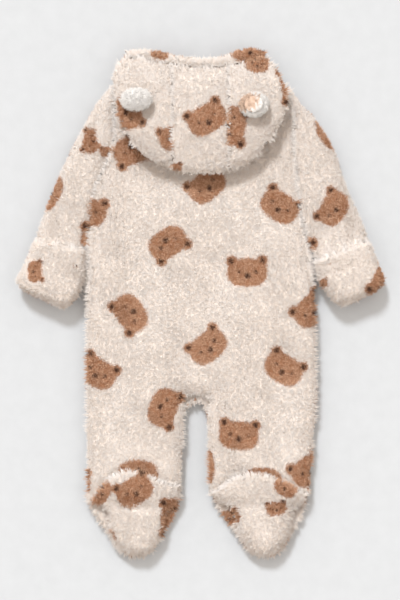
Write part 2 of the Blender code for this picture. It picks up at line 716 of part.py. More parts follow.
def build_ear(side, ear):
    """An ear of two pieces, the fur outside and its lining, tilted up from its root on the hood."""
    half = np.array(ear["half"]) * MM
    turn = np.radians(ear["turn"])
    axis = Vector((np.sin(turn), -np.cos(turn), 0.0))
    tilt = Matrix.Rotation(np.radians(ear["tilt"]), 4, axis)
    facing = 1 if ear["cup"] else -1
    recess = Matrix.Translation((0, 0, facing * (EAR_THICK / 2 - 0.4 * EAR_LINING)))
    stand = Matrix.Translation((ear["at"][0] * MM, ear["at"][1] * MM, 0.0)) @ tilt
    outer = ear_solid(half, EAR_THICK)
    bmesh.ops.transform(outer, matrix=stand, verts=outer.verts[:])
    lining = ear_solid(half * EAR_LINING_SHARE, EAR_LINING * 2)
    cutter = ear_solid(half * EAR_LINING_SHARE + GAP, EAR_LINING * 2 + 2 * GAP)
    for form in (lining, cutter):
        bmesh.ops.transform(form, matrix=stand @ recess, verts=form.verts[:])
    sunk = max(np.max(hood_top(form.verts) - [v.co.z for v in form.verts]) for form in (outer, lining))
    for form in (outer, lining, cutter):
        bmesh.ops.translate(form, verts=form.verts[:], vec=(0, 0, sunk + EAR_SEAT))
    outer = add_object(f"ear_{side}_outer", outer, (WHITE, 0.95))
    add_object(f"ear_{side}_lining", lining, (TAN, 0.9))
    cutter = add_object(f"ear_{side}_recess", cutter, (TAN, 0.95))
    cutter.hide_render = True
    cutter.display_type = "WIRE"
    cut = outer.modifiers.new("recess", "BOOLEAN")
    cut.object = cutter
    cut.operation = "DIFFERENCE"


def build_zip():
    """The zip between the two fronts: its tape inside them, its chain, its slider and a soft puller."""
    middle, length = (ZIP_TOP + ZIP_END) / 2, ZIP_TOP - ZIP_END
    tape_z = MID - GAP / 2 - TAPE / 2
    block("zip_tape", (ZIP_X, middle, tape_z), (2 * TAPE_HALF, length, TAPE), 0.2 * MM, (ZIP_CREAM, 0.8))
    chain_z = tape_z - TAPE / 2 - GAP - CHAIN / 2
    block("zip_chain", (ZIP_X, middle, chain_z), (2 * CHAIN_HALF, length - 4 * MM, CHAIN), 0.4 * MM,
          (ZIP_CREAM, 0.5))
    slider_z = chain_z - CHAIN / 2 - GAP - SLIDER[2] / 2
    slider_y = ZIP_TOP - 12 * MM
    block("zip_slider", (ZIP_X, slider_y, slider_z), SLIDER, 0.8 * MM, (METAL, 0.35, 1.0))
    puller_z = slider_z - SLIDER[2] / 2 - GAP - PULLER[2] / 2
    block("zip_puller", (ZIP_X, slider_y - PULLER[1] / 2 + 3 * MM, puller_z), PULLER, 0.25 * MM,
          (ZIP_CREAM, 0.8))


def build():
    for old in list(bpy.data.objects):
        bpy.data.objects.remove(old)
    collection = bpy.data.collections.new(NAME)
    bpy.context.scene.collection.children.link(collection)
    back, crotch_row, middle = back_plan()
    build_back(back, crotch_row, middle)
    for side in ("left", "right"):
        build_front(side)
        build_sleeve(side)
        build_cuff(side)
        build_foot(side, back, middle)
        build_ear(side, EARS[side])
    build_hood()
    build_zip()


build()
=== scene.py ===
"""A baby's faux fur pramsuit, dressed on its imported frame: backing, pile, ears, zip, floor and light.

It is laid out as a Blender add-on and run as a script. Each operator makes a group of like pieces.
Every cloth piece is a thin backing on the form of its CAD solid, under a pile of separate strands that
reach as far as the solid does. The print is a generic bear's head, in places given by a short table.
"""

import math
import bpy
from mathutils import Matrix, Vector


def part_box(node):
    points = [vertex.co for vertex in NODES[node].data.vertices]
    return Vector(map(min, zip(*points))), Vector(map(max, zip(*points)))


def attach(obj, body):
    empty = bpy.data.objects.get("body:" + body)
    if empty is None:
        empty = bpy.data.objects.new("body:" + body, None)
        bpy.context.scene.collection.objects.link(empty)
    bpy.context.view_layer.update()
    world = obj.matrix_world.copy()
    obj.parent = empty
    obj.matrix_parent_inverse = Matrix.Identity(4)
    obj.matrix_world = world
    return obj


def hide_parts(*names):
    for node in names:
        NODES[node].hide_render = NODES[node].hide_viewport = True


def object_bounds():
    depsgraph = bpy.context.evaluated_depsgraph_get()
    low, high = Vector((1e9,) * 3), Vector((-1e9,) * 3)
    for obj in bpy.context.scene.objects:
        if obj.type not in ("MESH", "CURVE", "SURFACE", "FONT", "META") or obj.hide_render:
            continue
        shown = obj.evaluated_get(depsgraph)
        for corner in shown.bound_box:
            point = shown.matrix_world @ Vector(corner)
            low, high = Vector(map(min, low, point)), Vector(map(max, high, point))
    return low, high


bl_info = {
    "name": "Faux fur pramsuit",
    "version": (1, 0, 0),
    "blender": (4, 5, 0),
    "location": "3D View > Sidebar > Pramsuit",
    "description": "Backing, pile, ears and zip of a baby's faux fur pramsuit, with its stage",
    "category": "Object",
}

import bmesh
import bpy
import numpy as np
from bpy.props import FloatProperty, FloatVectorProperty, IntProperty, PointerProperty
from mathutils import Matrix, Vector
from mathutils.bvhtree import BVHTree

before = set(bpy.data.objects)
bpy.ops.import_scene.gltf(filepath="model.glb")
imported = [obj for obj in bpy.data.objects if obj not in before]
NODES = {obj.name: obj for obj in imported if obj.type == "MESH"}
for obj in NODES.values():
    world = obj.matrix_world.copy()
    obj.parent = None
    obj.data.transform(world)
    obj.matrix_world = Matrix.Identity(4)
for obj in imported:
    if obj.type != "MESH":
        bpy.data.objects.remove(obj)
CAD_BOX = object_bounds()
MM = 0.001
BODY = "root"
SAME = 0.00002  # points this close are one, in metres
REST_GAP = 0.0003  # between the surface and the lowest cloth and fur, in metres


def table(names, *rows):
    """Named columns from rows."""
    return {name: np.array(values, dtype=float) for name, values in zip(names.split(), zip(*rows))}


def heads(*rows):
    """Heads of the print: the middle of each in mm, its turn in degrees anticlockwise, its size or 1."""
    return table("x y turn size", *((*row, 1.0)[:4] for row in rows))


# The print on the sides that the photograph shows
PRINT = {
    "back": heads(
        (6.9, 134.5, 40),
        (90.3, 110.4, -33),
        (-38.3, 68.8, -146),
        (53.1, 35.1, 1),
        (-80.7, -11.7, 123),
        (8.2, -50.3, 40),
        (94.6, -75.6, -32),
        (-119.4, -79.7, -31),
        (-43.1, -120.2, -111),
        (43.2, -152.1, -6),
        (128.0, -8.0, 42),
        (-131.1, 104.6, -12),
        (125.3, -192.0, 33),
        (-72.4, -196.6, 180),
        (-150.6, -209.3, 0),
        (-1.1, -188.6, 90),
        (-78.2, 175.9, 200),
        (70.1, -205.8, 180),
    ),
    "sleeve_left": heads(
        (-177.1, 127.6, 60),
        (-125.5, 186.0, 80, 0.62),
        (-107.0, 173.0, 0, 0.4),
        (-115.0, 74.8, 0),
    ),
    "cuff_left": heads((-190.0, 36.0, -84, 0.55)),
    "sleeve_right": heads((152.0, 108.4, 62, 0.92), (150.6, 197.2, -58), (105.8, 64.4, -25)),
    "cuff_right": heads((213.0, 25.5, 62), (139.0, 22.0, 20, 0.3)),
    "sole_left": heads(
        (-75.9, -215.0, 30, 0.95),
        (-116.1, -217.3, 60, 0.7),
        (-28.7, -247.2, 90),
        (-112.7, -278.3, 90, 0.9),
    ),
    "foot_upper_left": heads((-28.7, -247.2, 90)),
    "foot_upper_right": heads((32.0, -247.0, 20, 0.55)),
    "sole_right": heads((32.0, -247.0, 20, 0.55), (86.2, -235.7, 10, 0.5), (96.6, -211.6, -30, 0.6)),
    "hood_band": heads((-47.1, 285.2, 0, 0.45), (56.3, 290.9, 0)),
    "hood_side_right": heads((64.4, 272.5, 0, 0.6), (34.5, 201.2, -100), (108.1, 249.5, 100)),
    "hood_centre": heads((6.8, 209.1, 29), (-33.3, 150.6, 0, 0.5)),
    "hood_side_left": heads((-28.7, 188.6, 20, 0.85), (-82.8, 217.3, -75, 0.9)),
}
# The sides that the photograph hides carry the same print in an even scatter of its own: the steps between
# its columns and rows in mm, how many of each lie beside the middle, and what turns one head from the next
SCATTER = (64.0, 58.0)
SCATTER_COLUMNS, SCATTER_ROWS = 5, 6
SCATTER_TURNS = (71, 137)
# Where a lump of plain fur covers the print: its middle line's x and its two ends' y, and its radius, in mm
BARE = {"sleeve_left": (-109.0, 192.0, 233.0, 11.5)}
# Where the ears' warm lining shows: its middle and its half sizes, in mm
LINING = {"left": (-72.0, 214.0, 9.0, 3.0), "right": (50.5, 228.5, 14.5, 11.0)}
# A darker mark in the right ear's lining: its middle and radius, in mm, and how dark it is
EAR_MARK, MARK_DARK = (60.0, 226.5, 1.7), 0.5
# Each half of an ear: the pile's depth in metres and the share of it that the backing is sunk in, the tuft
# spacing in metres, the least and the most that tips rise in mm, and its material and slot
EARS = {
    "outer": (0.0018, 0.6, 0.0007, 0.8, 2.8, "ear_pile", "ear_fur"),
    "lining": (0.0008, 0.2, 0.0008, -0.2, 1.6, "ear_plush", "ear_lining"),
}
EAR_CELL = 0.0014  # about the width of the faces of an ear's backing, in metres
# How far the outer tufts splay out from the ear's middle, against their own way, and each axis's share
EAR_SPLAY, EAR_SPLAY_AXES = 0.5, (1, 1, 0.3)
EAR_RAISED = 0.8  # how far the ears' shading is turned up further than that of the other fur
EAR_SEED = 40  # the ears' random draws start from this and the length of a node's name
# How far the lining's edge wanders and over what distance in metres, and over how much of its size it fades
LINING_WANDER, LINING_WAVE, LINING_FADE = 0.2, 0.005, 0.25
# A head's half sizes and power, and its ears, inner ears, nose and eyes: across, up and radius, in mm
HEAD = (23.0, 16.5, 2.5)
EAR_SPOTS = ((-17.5, 13.0, 6.8), (17.5, 13.0, 6.8))
DARK_SPOTS = ((-18.2, 13.8, 3.0), (18.2, 13.8, 3.0), (0.0, -4.0, 3.0), (-10.0, 1.0, 1.7), (10.0, 1.0, 1.7))
HEAD_REACH = 30  # the furthest that a head reaches from its middle, in mm
INK_BLUR, SPOT_BLUR = 1.6, 1.8  # over how many mm the edges of the print and of its spots fade
INK_STRAY = 0.0008  # how far the print's colour strays from tuft to tuft, in metres

# Fine creases in the upper faces, in mm: middle, direction from +X, half length, half width, height
CREASES = table(
    "x y turn long wide high",
    (-128, 98, 72, 24, 7, -1.6),
    (-109, 209, 90, 27, 8, 2.2),
    (-124, 200, 90, 30, 5, -1.2),
    (-169, 85, 90, 15, 4.5, -1.8),
    (-139, 35, -5, 12, 4.5, -2.0),
    (157, 41, 11, 27, 4.5, -2.0),
    (160, 60, 22, 34, 5, 1.6),
    (170, 91, -81, 21, 4.5, -1.8),
    (-78, -229, 0, 22, 4.5, -1.4),
    (88, -232, 10, 20, 4.5, -1.4),
    (-40, 120, 20, 40, 16, 0.8),
    (60, 90, -30, 50, 18, 0.8),
    (-60, 0, 80, 60, 18, 0.7),
    (20, -20, 70, 60, 20, 0.8),
    (100, -130, 85, 60, 14, 0.8),
    (-95, -150, 85, 60, 16, 0.8),
)

# Soft waves over all the cloth: their height and the distance between them, in metres
WAVE, WAVE_LENGTH = 0.4 * MM, 0.045
# A drift sums this many waves, whose frequencies differ by factors in this range, and is divided by this
DRIFT_WAVES, DRIFT_PITCH, DRIFT_SCALE = 7, (0.7, 1.5), 2.6

# The garment's top, bridged over its seams and slits: the height that it is looked for from, its margin and
# its step, in metres, and the reach in steps
SKY_FROM, SKY_MARGIN, SKY_STEP, SKY_REACH = 0.1, 0.012, 0.0015, 4.2
# How far below that top the shallow dips and the deeper valleys along seams lie, and over what they blend
DIP_BLEND, DIP_END = 0.0005, 0.003
VALLEY_TOP, VALLEY_BLEND, VALLEY_END = 0.0012, 0.0008, 0.009
# The upward part of a normal from which a face can be in a valley or in a dip, and over what the dip blends
VALLEY_TILT, DIP_TILT, DIP_TILT_BLEND = 0.05, 0.4, 0.3

# How tufts lean. Their clump's own way, which goes round as its mark grows, a drift over the cloth, and
# chance each have a share in it. Each tuft is also drawn some of the way to its clump's middle.
CLUMP_WAY, CLUMP_TURNS, CHANCE_WAY = 0.45, 9, 0.6
DRIFT_WAY, DRIFT_LENGTH = 0.25, 0.05
DRAWN_IN = 0.6
# A clump is domed: its tips sink from this share of its size outwards, up to a greatest share
DOME_DEPTH, DOME_TOP, DOME_REACH = 1.6 * MM, 0.2, 0.5
# Tufts in a dip or a valley reach across it: the least and the most of each, in mm
ACROSS_DIP, ACROSS_VALLEY = (0.4, 2.2), (0.6, 3.6)
# They stand higher too: how far down that begins and the most of it, in metres, and the root's share in it
LIFT_FROM, LIFT_MOST, ROOT_LIFT = 0.0008, 0.005, 0.75
TILT_GAIN = 3  # how soon the upward part of a normal counts in full
ROOT_SINK = 0.0004  # how far a tuft's root is let into the backing, in metres
INK_AT = 0.4  # the share of its lean at which a tuft takes its print
# A backing is mostly the roots' colour, with their painted shade
BACKING_TIP, BACKING_SHADE = 0.35, 0.5  # how much of the tips' colour a backing has, and how light it is
PILE_SHARE = 0.42  # the most of a piece's thickness that its pile takes up
SEEN_INSIDE, THICKEST = 0.0006, 0.03  # how far inside thickness is measured from, and the most, in metres
# From how far behind a tuft's root the way out to its solid's surface is measured, and the most, in metres
SEEN_BACK, SEEN_BEYOND = 0.0008, 0.005
RESTING_DEPTH = 0.0026  # the most depth that a pile has where it rests, in metres
# The upward part of a normal under which cloth rests on the surface, and under which its tufts are sparse
RESTING_TILT, BELOW_TILT = -0.7, -0.25
# Tips end below or above the CAD's surface by this much, and those on the sides stand out by more, in mm
TIP_STRAY, SIDE_FUZZ = (-1.2, 0.7), (0.0, 2.8)
SUNK_FUZZ, SUNK_FUZZ_MOST = 0.4, 0.0025  # what a metre below the garment's top adds to that, and the most
# How light a tuft is, from 0 to 1, from random tone and painted light and shade: at its clump's middle, its
# # loss towards the rim (painted shade in the gaps between clumps), what chance and its clump add or take,
# its
# # middling value in a valley (painted shade along seams), what a crease adds or takes (painted shade in a
# dip,
# # painted highlight on a ridge), and its loss on a side (painted shade on steep sides)
SHADE_TOP, SHADE_RIM, SHADE_CHANCE, SHADE_CLUMP = 0.95, 1.5, 0.16, 0.2
SHADE_VALLEY, SHADE_CREASE, SHADE_SIDE = 0.65, 0.5, 0.1
CREASE_FULL, CREASE_LIMITS = 0.0016, (-1, 0.3)  # a crease's height that counts in full, and its limits
# How far the tufts' shading turns upwards on level cloth, on a side and in a valley, against their own way
LIT_LEVEL, LIT_SIDE, LIT_VALLEY = 3.0, 3.0, 1.5
# A tuft's width: the least and the most by chance, what a side takes off it, and what a valley adds
WIDTH_CHANCE, WIDTH_SIDE, WIDTH_VALLEY = (0.75, 1.25), 0.35, 0.6

# The zip's teeth, in metres: their pitch, how far each side's lie from the middle, their width and their
# bevel, and the share of the pitch that a tooth fills
TOOTH_PITCH, TOOTH_OFFSET, TOOTH_WIDTH, TOOTH_BEVEL, TOOTH_SHARE = 0.0025, 0.0009, 0.0034, 0.00035, 0.86
# The slider's body and its bridge: how far above the middle each lies and its size, as shares of the CAD's
# size, its bevel in metres, and the share of its width that is left at its lower end
SLIDER_BLOCKS = ((0.2, (1.0, 1.0, 0.6), 0.0006, 0.72), (-0.33, (0.3, 0.7, 0.34), 0.0004, 1.0))
# The length in metres over which the puller's loose end draws in, and the share of its width that is left
PULLER_END, PULLER_TAPER = 0.004, 0.72

# The stage, in metres: the way to the sun, the camera's place, the height of the picture that it takes, and
# how far above the surface that picture is this high
SUN_FROM = (-0.32, 0.95, 0.88)
CAMERA = (-0.00115, 0.00345, 2.2)
SEEN_HEIGHT, SEEN_AT = 0.69, 0.012

# Each cloth piece: how it is held, its cut's width and length in metres and area in square metres, and what
# it rests on
CUTS = {
    "back": ("laid", 0.266, 0.482, 0.1105, ["front_left", "front_right"]),
    "front_left": ("laid", 0.130, 0.465, 0.0540, ["floor"]),
    "front_right": ("laid", 0.136, 0.465, 0.0570, ["floor"]),
    "sleeve_left": ("laid", 0.165, 0.240, 0.0175, ["floor"]),
    "sleeve_right": ("laid", 0.170, 0.240, 0.0190, ["floor"]),
    "cuff_left": ("folded", 0.170, 0.125, 0.0165, ["floor"]),
    "cuff_right": ("folded", 0.160, 0.120, 0.0147, ["floor"]),
    "foot_upper_left": ("laid", 0.109, 0.081, 0.0072, ["floor"]),
    "foot_upper_right": ("laid", 0.109, 0.081, 0.0071, ["floor"]),
    "sole_left": ("laid", 0.107, 0.099, 0.0070, ["foot_upper_left"]),
    "sole_right": ("laid", 0.114, 0.095, 0.0070, ["foot_upper_right"]),
    "hood_under": ("folded", 0.198, 0.141, 0.0155, ["back"]),
    "hood_centre": ("laid", 0.064, 0.132, 0.0084, ["hood_under"]),
    "hood_side_left": ("laid", 0.070, 0.134, 0.0072, ["hood_under"]),
    "hood_side_right": ("laid", 0.070, 0.134, 0.0070, ["hood_under"]),
    "hood_band": ("laid", 0.156, 0.025, 0.0024, ["hood_under"]),
}


def length_property(name, description, default, least):
    return FloatProperty(name=name, description=description, default=default, min=least, unit="LENGTH")


def colour_property(name, description, default):
    return FloatVectorProperty(name=name, description=description, default=default,
                               size=3, subtype="COLOR", min=0, max=1)


class PramsuitSizes(bpy.types.PropertyGroup):
    """Sizes of the pile and the backing."""

    cell: length_property("Backing cell", "About the width of the backing mesh's faces", 0.0038, 0.002)
    wall: length_property("Backing wall", "How thick the backing is", 0.001, 0.0002)
    depth: length_property(
        "Pile depth", "From the backing to the tips, where the cloth is thick enough", 0.0026, 0.001)
    gap: length_property("Tuft spacing", "Between tufts on the sides that show", 0.0008, 0.0005)
    gap_below: length_property(
        "Tuft spacing below", "Between tufts on the side that lies on the surface", 0.002, 0.0005)
    width: length_property("Tuft width", "Width of a tuft at its root", 0.0012, 0.0002)
    lean: length_property("Lean", "How far the tips lean over", 0.0026, 0.0)
    clump: length_property("Clump size", "Between the clumps that the tips draw into", 0.0036, 0.001)
    most: IntProperty(
        name="Tufts a piece", description="Most tufts in one piece of pile", default=95000, min=1000)


class PramsuitColours(bpy.types.PropertyGroup):
    """Colours of the fur, the print and the zip, in linear light."""

    cream_tip: colour_property("Cream tips", "Cream fur at its tips", (0.935, 0.90, 0.875))
    # Roots: the fur's own cream, darkened and warmed as painted shade between the tips
    cream_shaded_root: colour_property("Cream roots", "Cream fur between its tips", (0.93, 0.80, 0.695))
    print_tip: colour_property("Print tips", "Printed fur at its tips", (1.0, 0.66, 0.45))
    # Printed roots: the print's own colour, made much darker as painted shade between the tips
    print_shaded_root: colour_property("Print roots", "Printed fur between its tips", (0.40, 0.175, 0.085))
    spot: colour_property("Print spots", "Noses, eyes and inner ears of the print", (0.10, 0.045, 0.028))
    white_tip: colour_property("Ear tips", "Ear fur at its tips", (0.97, 0.91, 0.85))
    lining: colour_property("Ear lining", "Short plush inside the ears", (0.93, 0.66, 0.49))
    tape: colour_property("Zip tape", "Woven tape, teeth and puller of the zip", (0.72, 0.60, 0.49))
    floor: colour_property("Surface", "The plain surface under the garment", (0.62, 0.62, 0.62))


# ---- Surfaces -------------------------------------------------------------------------------------

BAND = 0.314  # a wave texture of this scale has bands one metre apart
FUR_COLOURS = ("Tip", "Root", "Print Tip", "Print Root", "Spot")


def new_look(name):
    """A new material, its node tree and its shader."""
    look = bpy.data.materials.new(name)
    look.use_nodes = True
    return look, look.node_tree, look.node_tree.nodes["Principled BSDF"]


def mixed(tree, blend, factor, one, two):
    """A Mix node on colours. Each argument is a socket or a plain value."""
    node = tree.nodes.new("ShaderNodeMix")
    node.data_type = "RGBA"
    node.blend_type = blend
    for socket, given in ((node.inputs[0], factor), (node.inputs[6], one), (node.inputs[7], two)):
        if isinstance(given, bpy.types.NodeSocket):
            tree.links.new(given, socket)
        else:
            socket.default_value = given
    return node.outputs[2]


def ranged(tree, value, low, high):
    """A value from 0 to 1, spread between two others."""
    node = tree.nodes.new("ShaderNodeMapRange")
    node.inputs["To Min"].default_value = low
    node.inputs["To Max"].default_value = high
    tree.links.new(value, node.inputs["Value"])
    return node.outputs["Result"]


def product(tree, one, two):
    """Two values multiplied."""
    node = tree.nodes.new("ShaderNodeMath")
    node.operation = "MULTIPLY"
    tree.links.new(one, node.inputs[0])
    tree.links.new(two, node.inputs[1])
    return node.outputs[0]


def grain(tree, scale, detail=2.0):
    """Noise on Object coordinates, from 0 to 1."""
    place = tree.nodes.new("ShaderNodeTexCoord")
    noise = tree.nodes.new("ShaderNodeTexNoise")
    noise.inputs["Scale"].default_value = scale
    noise.inputs["Detail"].default_value = detail
    tree.links.new(place.outputs["Object"], noise.inputs["Vector"])
    return noise.outputs["Fac"]


def bumped(tree, shader, height, distance):
    """Lets a height from 0 to 1 show as relief of some distance in metres."""
    node = tree.nodes.new("ShaderNodeBump")
    node.inputs["Distance"].default_value = distance
    tree.links.new(height, node.inputs["Height"])
    tree.links.new(node.outputs["Normal"], shader.inputs["Normal"])


def pile_group():
    """The colour of fur: tips and roots, the print and its spots, and a slow drift over the cloth.

    Painted shade turns dark tufts towards the roots' colour and lowers their value.
    """
    if "pile_colour" in bpy.data.node_groups:
        return bpy.data.node_groups["pile_colour"]
    group = bpy.data.node_groups.new("pile_colour", "ShaderNodeTree")
    for name in FUR_COLOURS:
        group.interface.new_socket(name, in_out="INPUT", socket_type="NodeSocketColor")
    for name, kind in (("Color", "Color"), ("Roughness", "Float"), ("Height", "Float")):
        group.interface.new_socket(name, in_out="OUTPUT", socket_type=f"NodeSocket{kind}")
    given = group.nodes.new("NodeGroupInput")
    result = group.nodes.new("NodeGroupOutput")
    fur = group.nodes.new("ShaderNodeAttribute")
    fur.attribute_name = "fur"
    parts = group.nodes.new("ShaderNodeSeparateColor")
    group.links.new(fur.outputs["Color"], parts.inputs["Color"])
    tip, ink, shade, spot = parts.outputs[0], parts.outputs[1], parts.outputs[2], fur.outputs["Alpha"]
    # Painted shade: the darker a tuft's shade, the more of the roots' colour it takes
    reach = product(group, tip, ranged(group, shade, low=0.1, high=1.0))
    plain, printed = (mixed(group, "MIX", reach, given.outputs[f"{kind}Root"], given.outputs[f"{kind}Tip"])
                      for kind in ("", "Print "))
    colour = mixed(group, "MIX", ink, plain, printed)
    colour = mixed(group, "MIX", spot, colour, given.outputs["Spot"])
    warmth = ranged(group, grain(group, scale=18.0), low=0.0, high=0.1)
    warm = mixed(group, "MULTIPLY", warmth, colour, (0.98, 0.90, 0.83, 1.0))
    # Painted shade: a dark tuft's value is lowered a little
    light = group.nodes.new("ShaderNodeHueSaturation")
    group.links.new(ranged(group, shade, low=0.92, high=1.0), light.inputs["Value"])
    group.links.new(warm, light.inputs["Color"])
    group.links.new(light.outputs["Color"], result.inputs["Color"])
    fine = grain(group, scale=900.0, detail=3.0)
    group.links.new(ranged(group, fine, low=0.78, high=0.98), result.inputs["Roughness"])
    group.links.new(fine, result.inputs["Height"])
    return group


def fur_material(name, colours, bump):
    """Fur or its backing, in the colours given, which are those of its node group."""
    look, tree, shader = new_look(name)
    node = tree.nodes.new("ShaderNodeGroup")
    node.node_tree = pile_group()
    for socket, shade in zip(FUR_COLOURS, colours):
        node.inputs[socket].default_value = (*shade, 1.0)
    tree.links.new(node.outputs["Color"], shader.inputs["Base Color"])
    tree.links.new(node.outputs["Roughness"], shader.inputs["Roughness"])
    shader.inputs["Specular IOR Level"].default_value = 0.1
    shader.inputs["Sheen Weight"].default_value = 0.1
    shader.inputs["Sheen Roughness"].default_value = 0.6
    shader.inputs["Sheen Tint"].default_value = (1.0, 0.95, 0.9, 1.0)
    bumped(tree, shader, node.outputs["Height"], bump)
    return look


def woven_material(name, colour, pitch, roughness=0.85):
    """A close weave of threads at right angles, a pitch apart."""
    look, tree, shader = new_look(name)
    place = tree.nodes.new("ShaderNodeTexCoord")
    heights = []
    for direction in ("X", "Y"):
        wave = tree.nodes.new("ShaderNodeTexWave")
        wave.bands_direction = direction
        wave.inputs["Scale"].default_value = BAND / pitch
        wave.inputs["Distortion"].default_value = 0.6
        tree.links.new(place.outputs["Object"], wave.inputs["Vector"])
        heights.append(wave.outputs["Fac"])
    both = product(tree, *heights)
    dark = tuple(0.72 * c for c in colour)
    tree.links.new(mixed(tree, "MIX", both, (*dark, 1.0), (*colour, 1.0)), shader.inputs["Base Color"])
    tree.links.new(ranged(tree, grain(tree, 300.0), roughness - 0.12, roughness + 0.1),
                   shader.inputs["Roughness"])
    shader.inputs["Sheen Weight"].default_value = 0.2
    bumped(tree, shader, both, distance=0.00025)
    return look


def smooth_material(name, colour, roughness, metallic, scale=250.0):
    """Moulded teeth, metal or the floor: one colour with fine wear and unevenness."""
    look, tree, shader = new_look(name)
    wear = grain(tree, scale, detail=4.0)
    dark = tuple(0.9 * c for c in colour)
    tree.links.new(mixed(tree, "MIX", wear, (*dark, 1.0), (*colour, 1.0)), shader.inputs["Base Color"])
    tree.links.new(ranged(tree, wear, roughness - 0.08, roughness + 0.08), shader.inputs["Roughness"])
    shader.inputs["Metallic"].default_value = metallic
    bumped(tree, shader, wear, distance=0.00004)
    return look


def looks():
    """The materials, made once from the colours."""
    if "faux_fur" not in bpy.data.materials:
        c = bpy.context.scene.pramsuit_colours
        cream = (c.cream_tip, c.cream_shaded_root, c.print_tip, c.print_shaded_root, c.spot)
        # The ears' roots are their tips' colours darkened as painted shade between the tips
        soft, deep = [0.93 * v for v in c.white_tip], [0.68 * v for v in c.lining]
        white = (c.white_tip, soft, c.lining, deep, c.spot)
        fur_material("faux_fur", cream, bump=0.0002)
        fur_material("fur_backing", cream, bump=0.0006)
        fur_material("ear_pile", white, bump=0.0002)
        fur_material("ear_plush", white, bump=0.0002)
        woven_material("zip_tape_weave", c.tape, pitch=0.0007)
        woven_material("puller_tape", c.tape, pitch=0.0005)
        smooth_material("zip_teeth_resin", c.tape, roughness=0.42, metallic=0.0)
        smooth_material("slider_metal", (0.72, 0.68, 0.62), roughness=0.32, metallic=1.0)
    return bpy.data.materials


# ---- Meshes and places ----------------------------------------------------------------------------


def unit(vectors):
    """Vectors brought to a length of 1."""
    return vectors / np.maximum(np.linalg.norm(vectors, axis=-1, keepdims=True), 1e-12)


def arrays_of(form):
    """A triangulated bmesh as points and triangles."""
    form.verts.index_update()
    points = np.array([v.co[:] for v in form.verts])
    triangles = np.array([[v.index for v in f.verts] for f in form.faces])
    return points, triangles


def face_normals(points, triangles):
    """Each triangle's normal, twice its area long."""
    a, b, c = (points[triangles[:, k]] for k in range(3))
    return np.cross(b - a, c - a)


def vertex_normals(direction, triangles, count, rounds):
    """A normal at each vertex, from the triangles' own, smoothed over some rounds."""
    return unit(smoothed(unit(at_vertices(direction, triangles, count)), triangles, rounds))


def at_places(values, corners, share):
    """Values at places on triangles, from those at the triangles' corners."""
    if values.ndim > 1:
        share = share[..., None]
    return (values[corners] * share).sum(axis=1)


def at_vertices(values, triangles, count):
    """The sum of the triangles' values round each vertex."""
    total = np.zeros((count, values.shape[1]))
    for k in range(3):
        np.add.at(total, triangles[:, k], values)
    return total


def solid_of(node):
    """A CAD node's surface, for asking how far away it is."""
    form = bmesh.new()
    form.from_mesh(NODES[node].data)
    solid = BVHTree.FromBMesh(form)
    form.free()
    return solid


def object_of(name, data):
    """A new object in the scene, at the origin."""
    made = bpy.data.objects.new(name, data)
    bpy.context.scene.collection.objects.link(made)
    return made


def mesh_of(name, form):
    """A bmesh's own mesh, shaded smooth."""
    mesh = bpy.data.meshes.new(name)
    form.to_mesh(mesh)
    form.free()
    mesh.shade_smooth()
    return mesh


def dress(piece, node=None):
    """Has a piece ride on the garment and in place of a CAD node."""
    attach(piece, BODY)
    if node:
        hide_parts(node)


def give_fur(mesh, colour):
    """The attribute that fur materials read: tip, print, shade (random tone and painted shade) and spot at
    each vertex.
    """
    attribute = mesh.color_attributes.new("fur", "FLOAT_COLOR", "POINT")
    attribute.data.foreach_set("color", colour.astype(np.float32).ravel())


DRAWN_BACK = 0.8  # how much of the way a remeshed point goes back to the surface that it left
FACE_REACH = 0.0032  # a face is hidden if other cloth lies this close before it, in metres
FACE_CLEAR = 0.0001  # and if that is further than this, in metres


def remeshed(node, cell):
    """A CAD node's form in even triangles about a cell across, drawn back onto its surface."""
    form = bmesh.new()
    form.from_mesh(NODES[node].data)
    bmesh.ops.remove_doubles(form, verts=form.verts[:], dist=SAME)
    solid = BVHTree.FromBMesh(form)
    mesh = bpy.data.meshes.new("remeshed")
    form.to_mesh(mesh)
    form.free()
    holder = object_of("remeshed", mesh)
    modifier = holder.modifiers.new("Remesh", "REMESH")
    modifier.mode = "VOXEL"
    modifier.voxel_size = cell
    modifier.adaptivity = 0.0
    evaluated = holder.evaluated_get(bpy.context.evaluated_depsgraph_get())
    form = bmesh.new()
    form.from_mesh(evaluated.to_mesh())
    evaluated.to_mesh_clear()
    bpy.data.objects.remove(holder)
    bpy.data.meshes.remove(mesh)
    bmesh.ops.triangulate(form, faces=form.faces[:])
    for vertex in form.verts:
        place = solid.find_nearest(vertex.co)[0]
        if place is not None:
            vertex.co = vertex.co.lerp(place, DRAWN_BACK)
    return form


def all_cloth():
    """The whole garment's solids without the ears, for asking what faces what."""
    if not hasattr(all_cloth, "tree"):
        points, faces, start = [], [], 0
        for name in CUTS:
            mesh = NODES[name].data
            mesh.calc_loop_triangles()
            points += [v.co[:] for v in mesh.vertices]
            faces += [[i + start for i in t.vertices] for t in mesh.loop_triangles]
            start = len(points)
        all_cloth.tree = BVHTree.FromPolygons(points, faces)
    return all_cloth.tree


def open_faces(points, triangles):
    """True for each triangle that has no other cloth close before it.

    The slopes of a seam's valley look straight up, so that they count as open.
    """
    normal = unit(face_normals(points, triangles))
    middle = points[triangles].mean(axis=1) + normal * FACE_CLEAR
    gaze = np.where(valley(middle, normal)[:, None] > 0, [[0.0, 0.0, 1.0]], normal)
    tree = all_cloth()

    def sees_out(place, way):
        while True:
            hit, facing, *_ = tree.ray_cast(place, way, FACE_REACH)
            if hit is None or facing.dot(way) < 0:
                return hit is None
            place = hit + way * SAME

    return np.array([sees_out(Vector(m), Vector(g)) for m, g in zip(middle, gaze)])


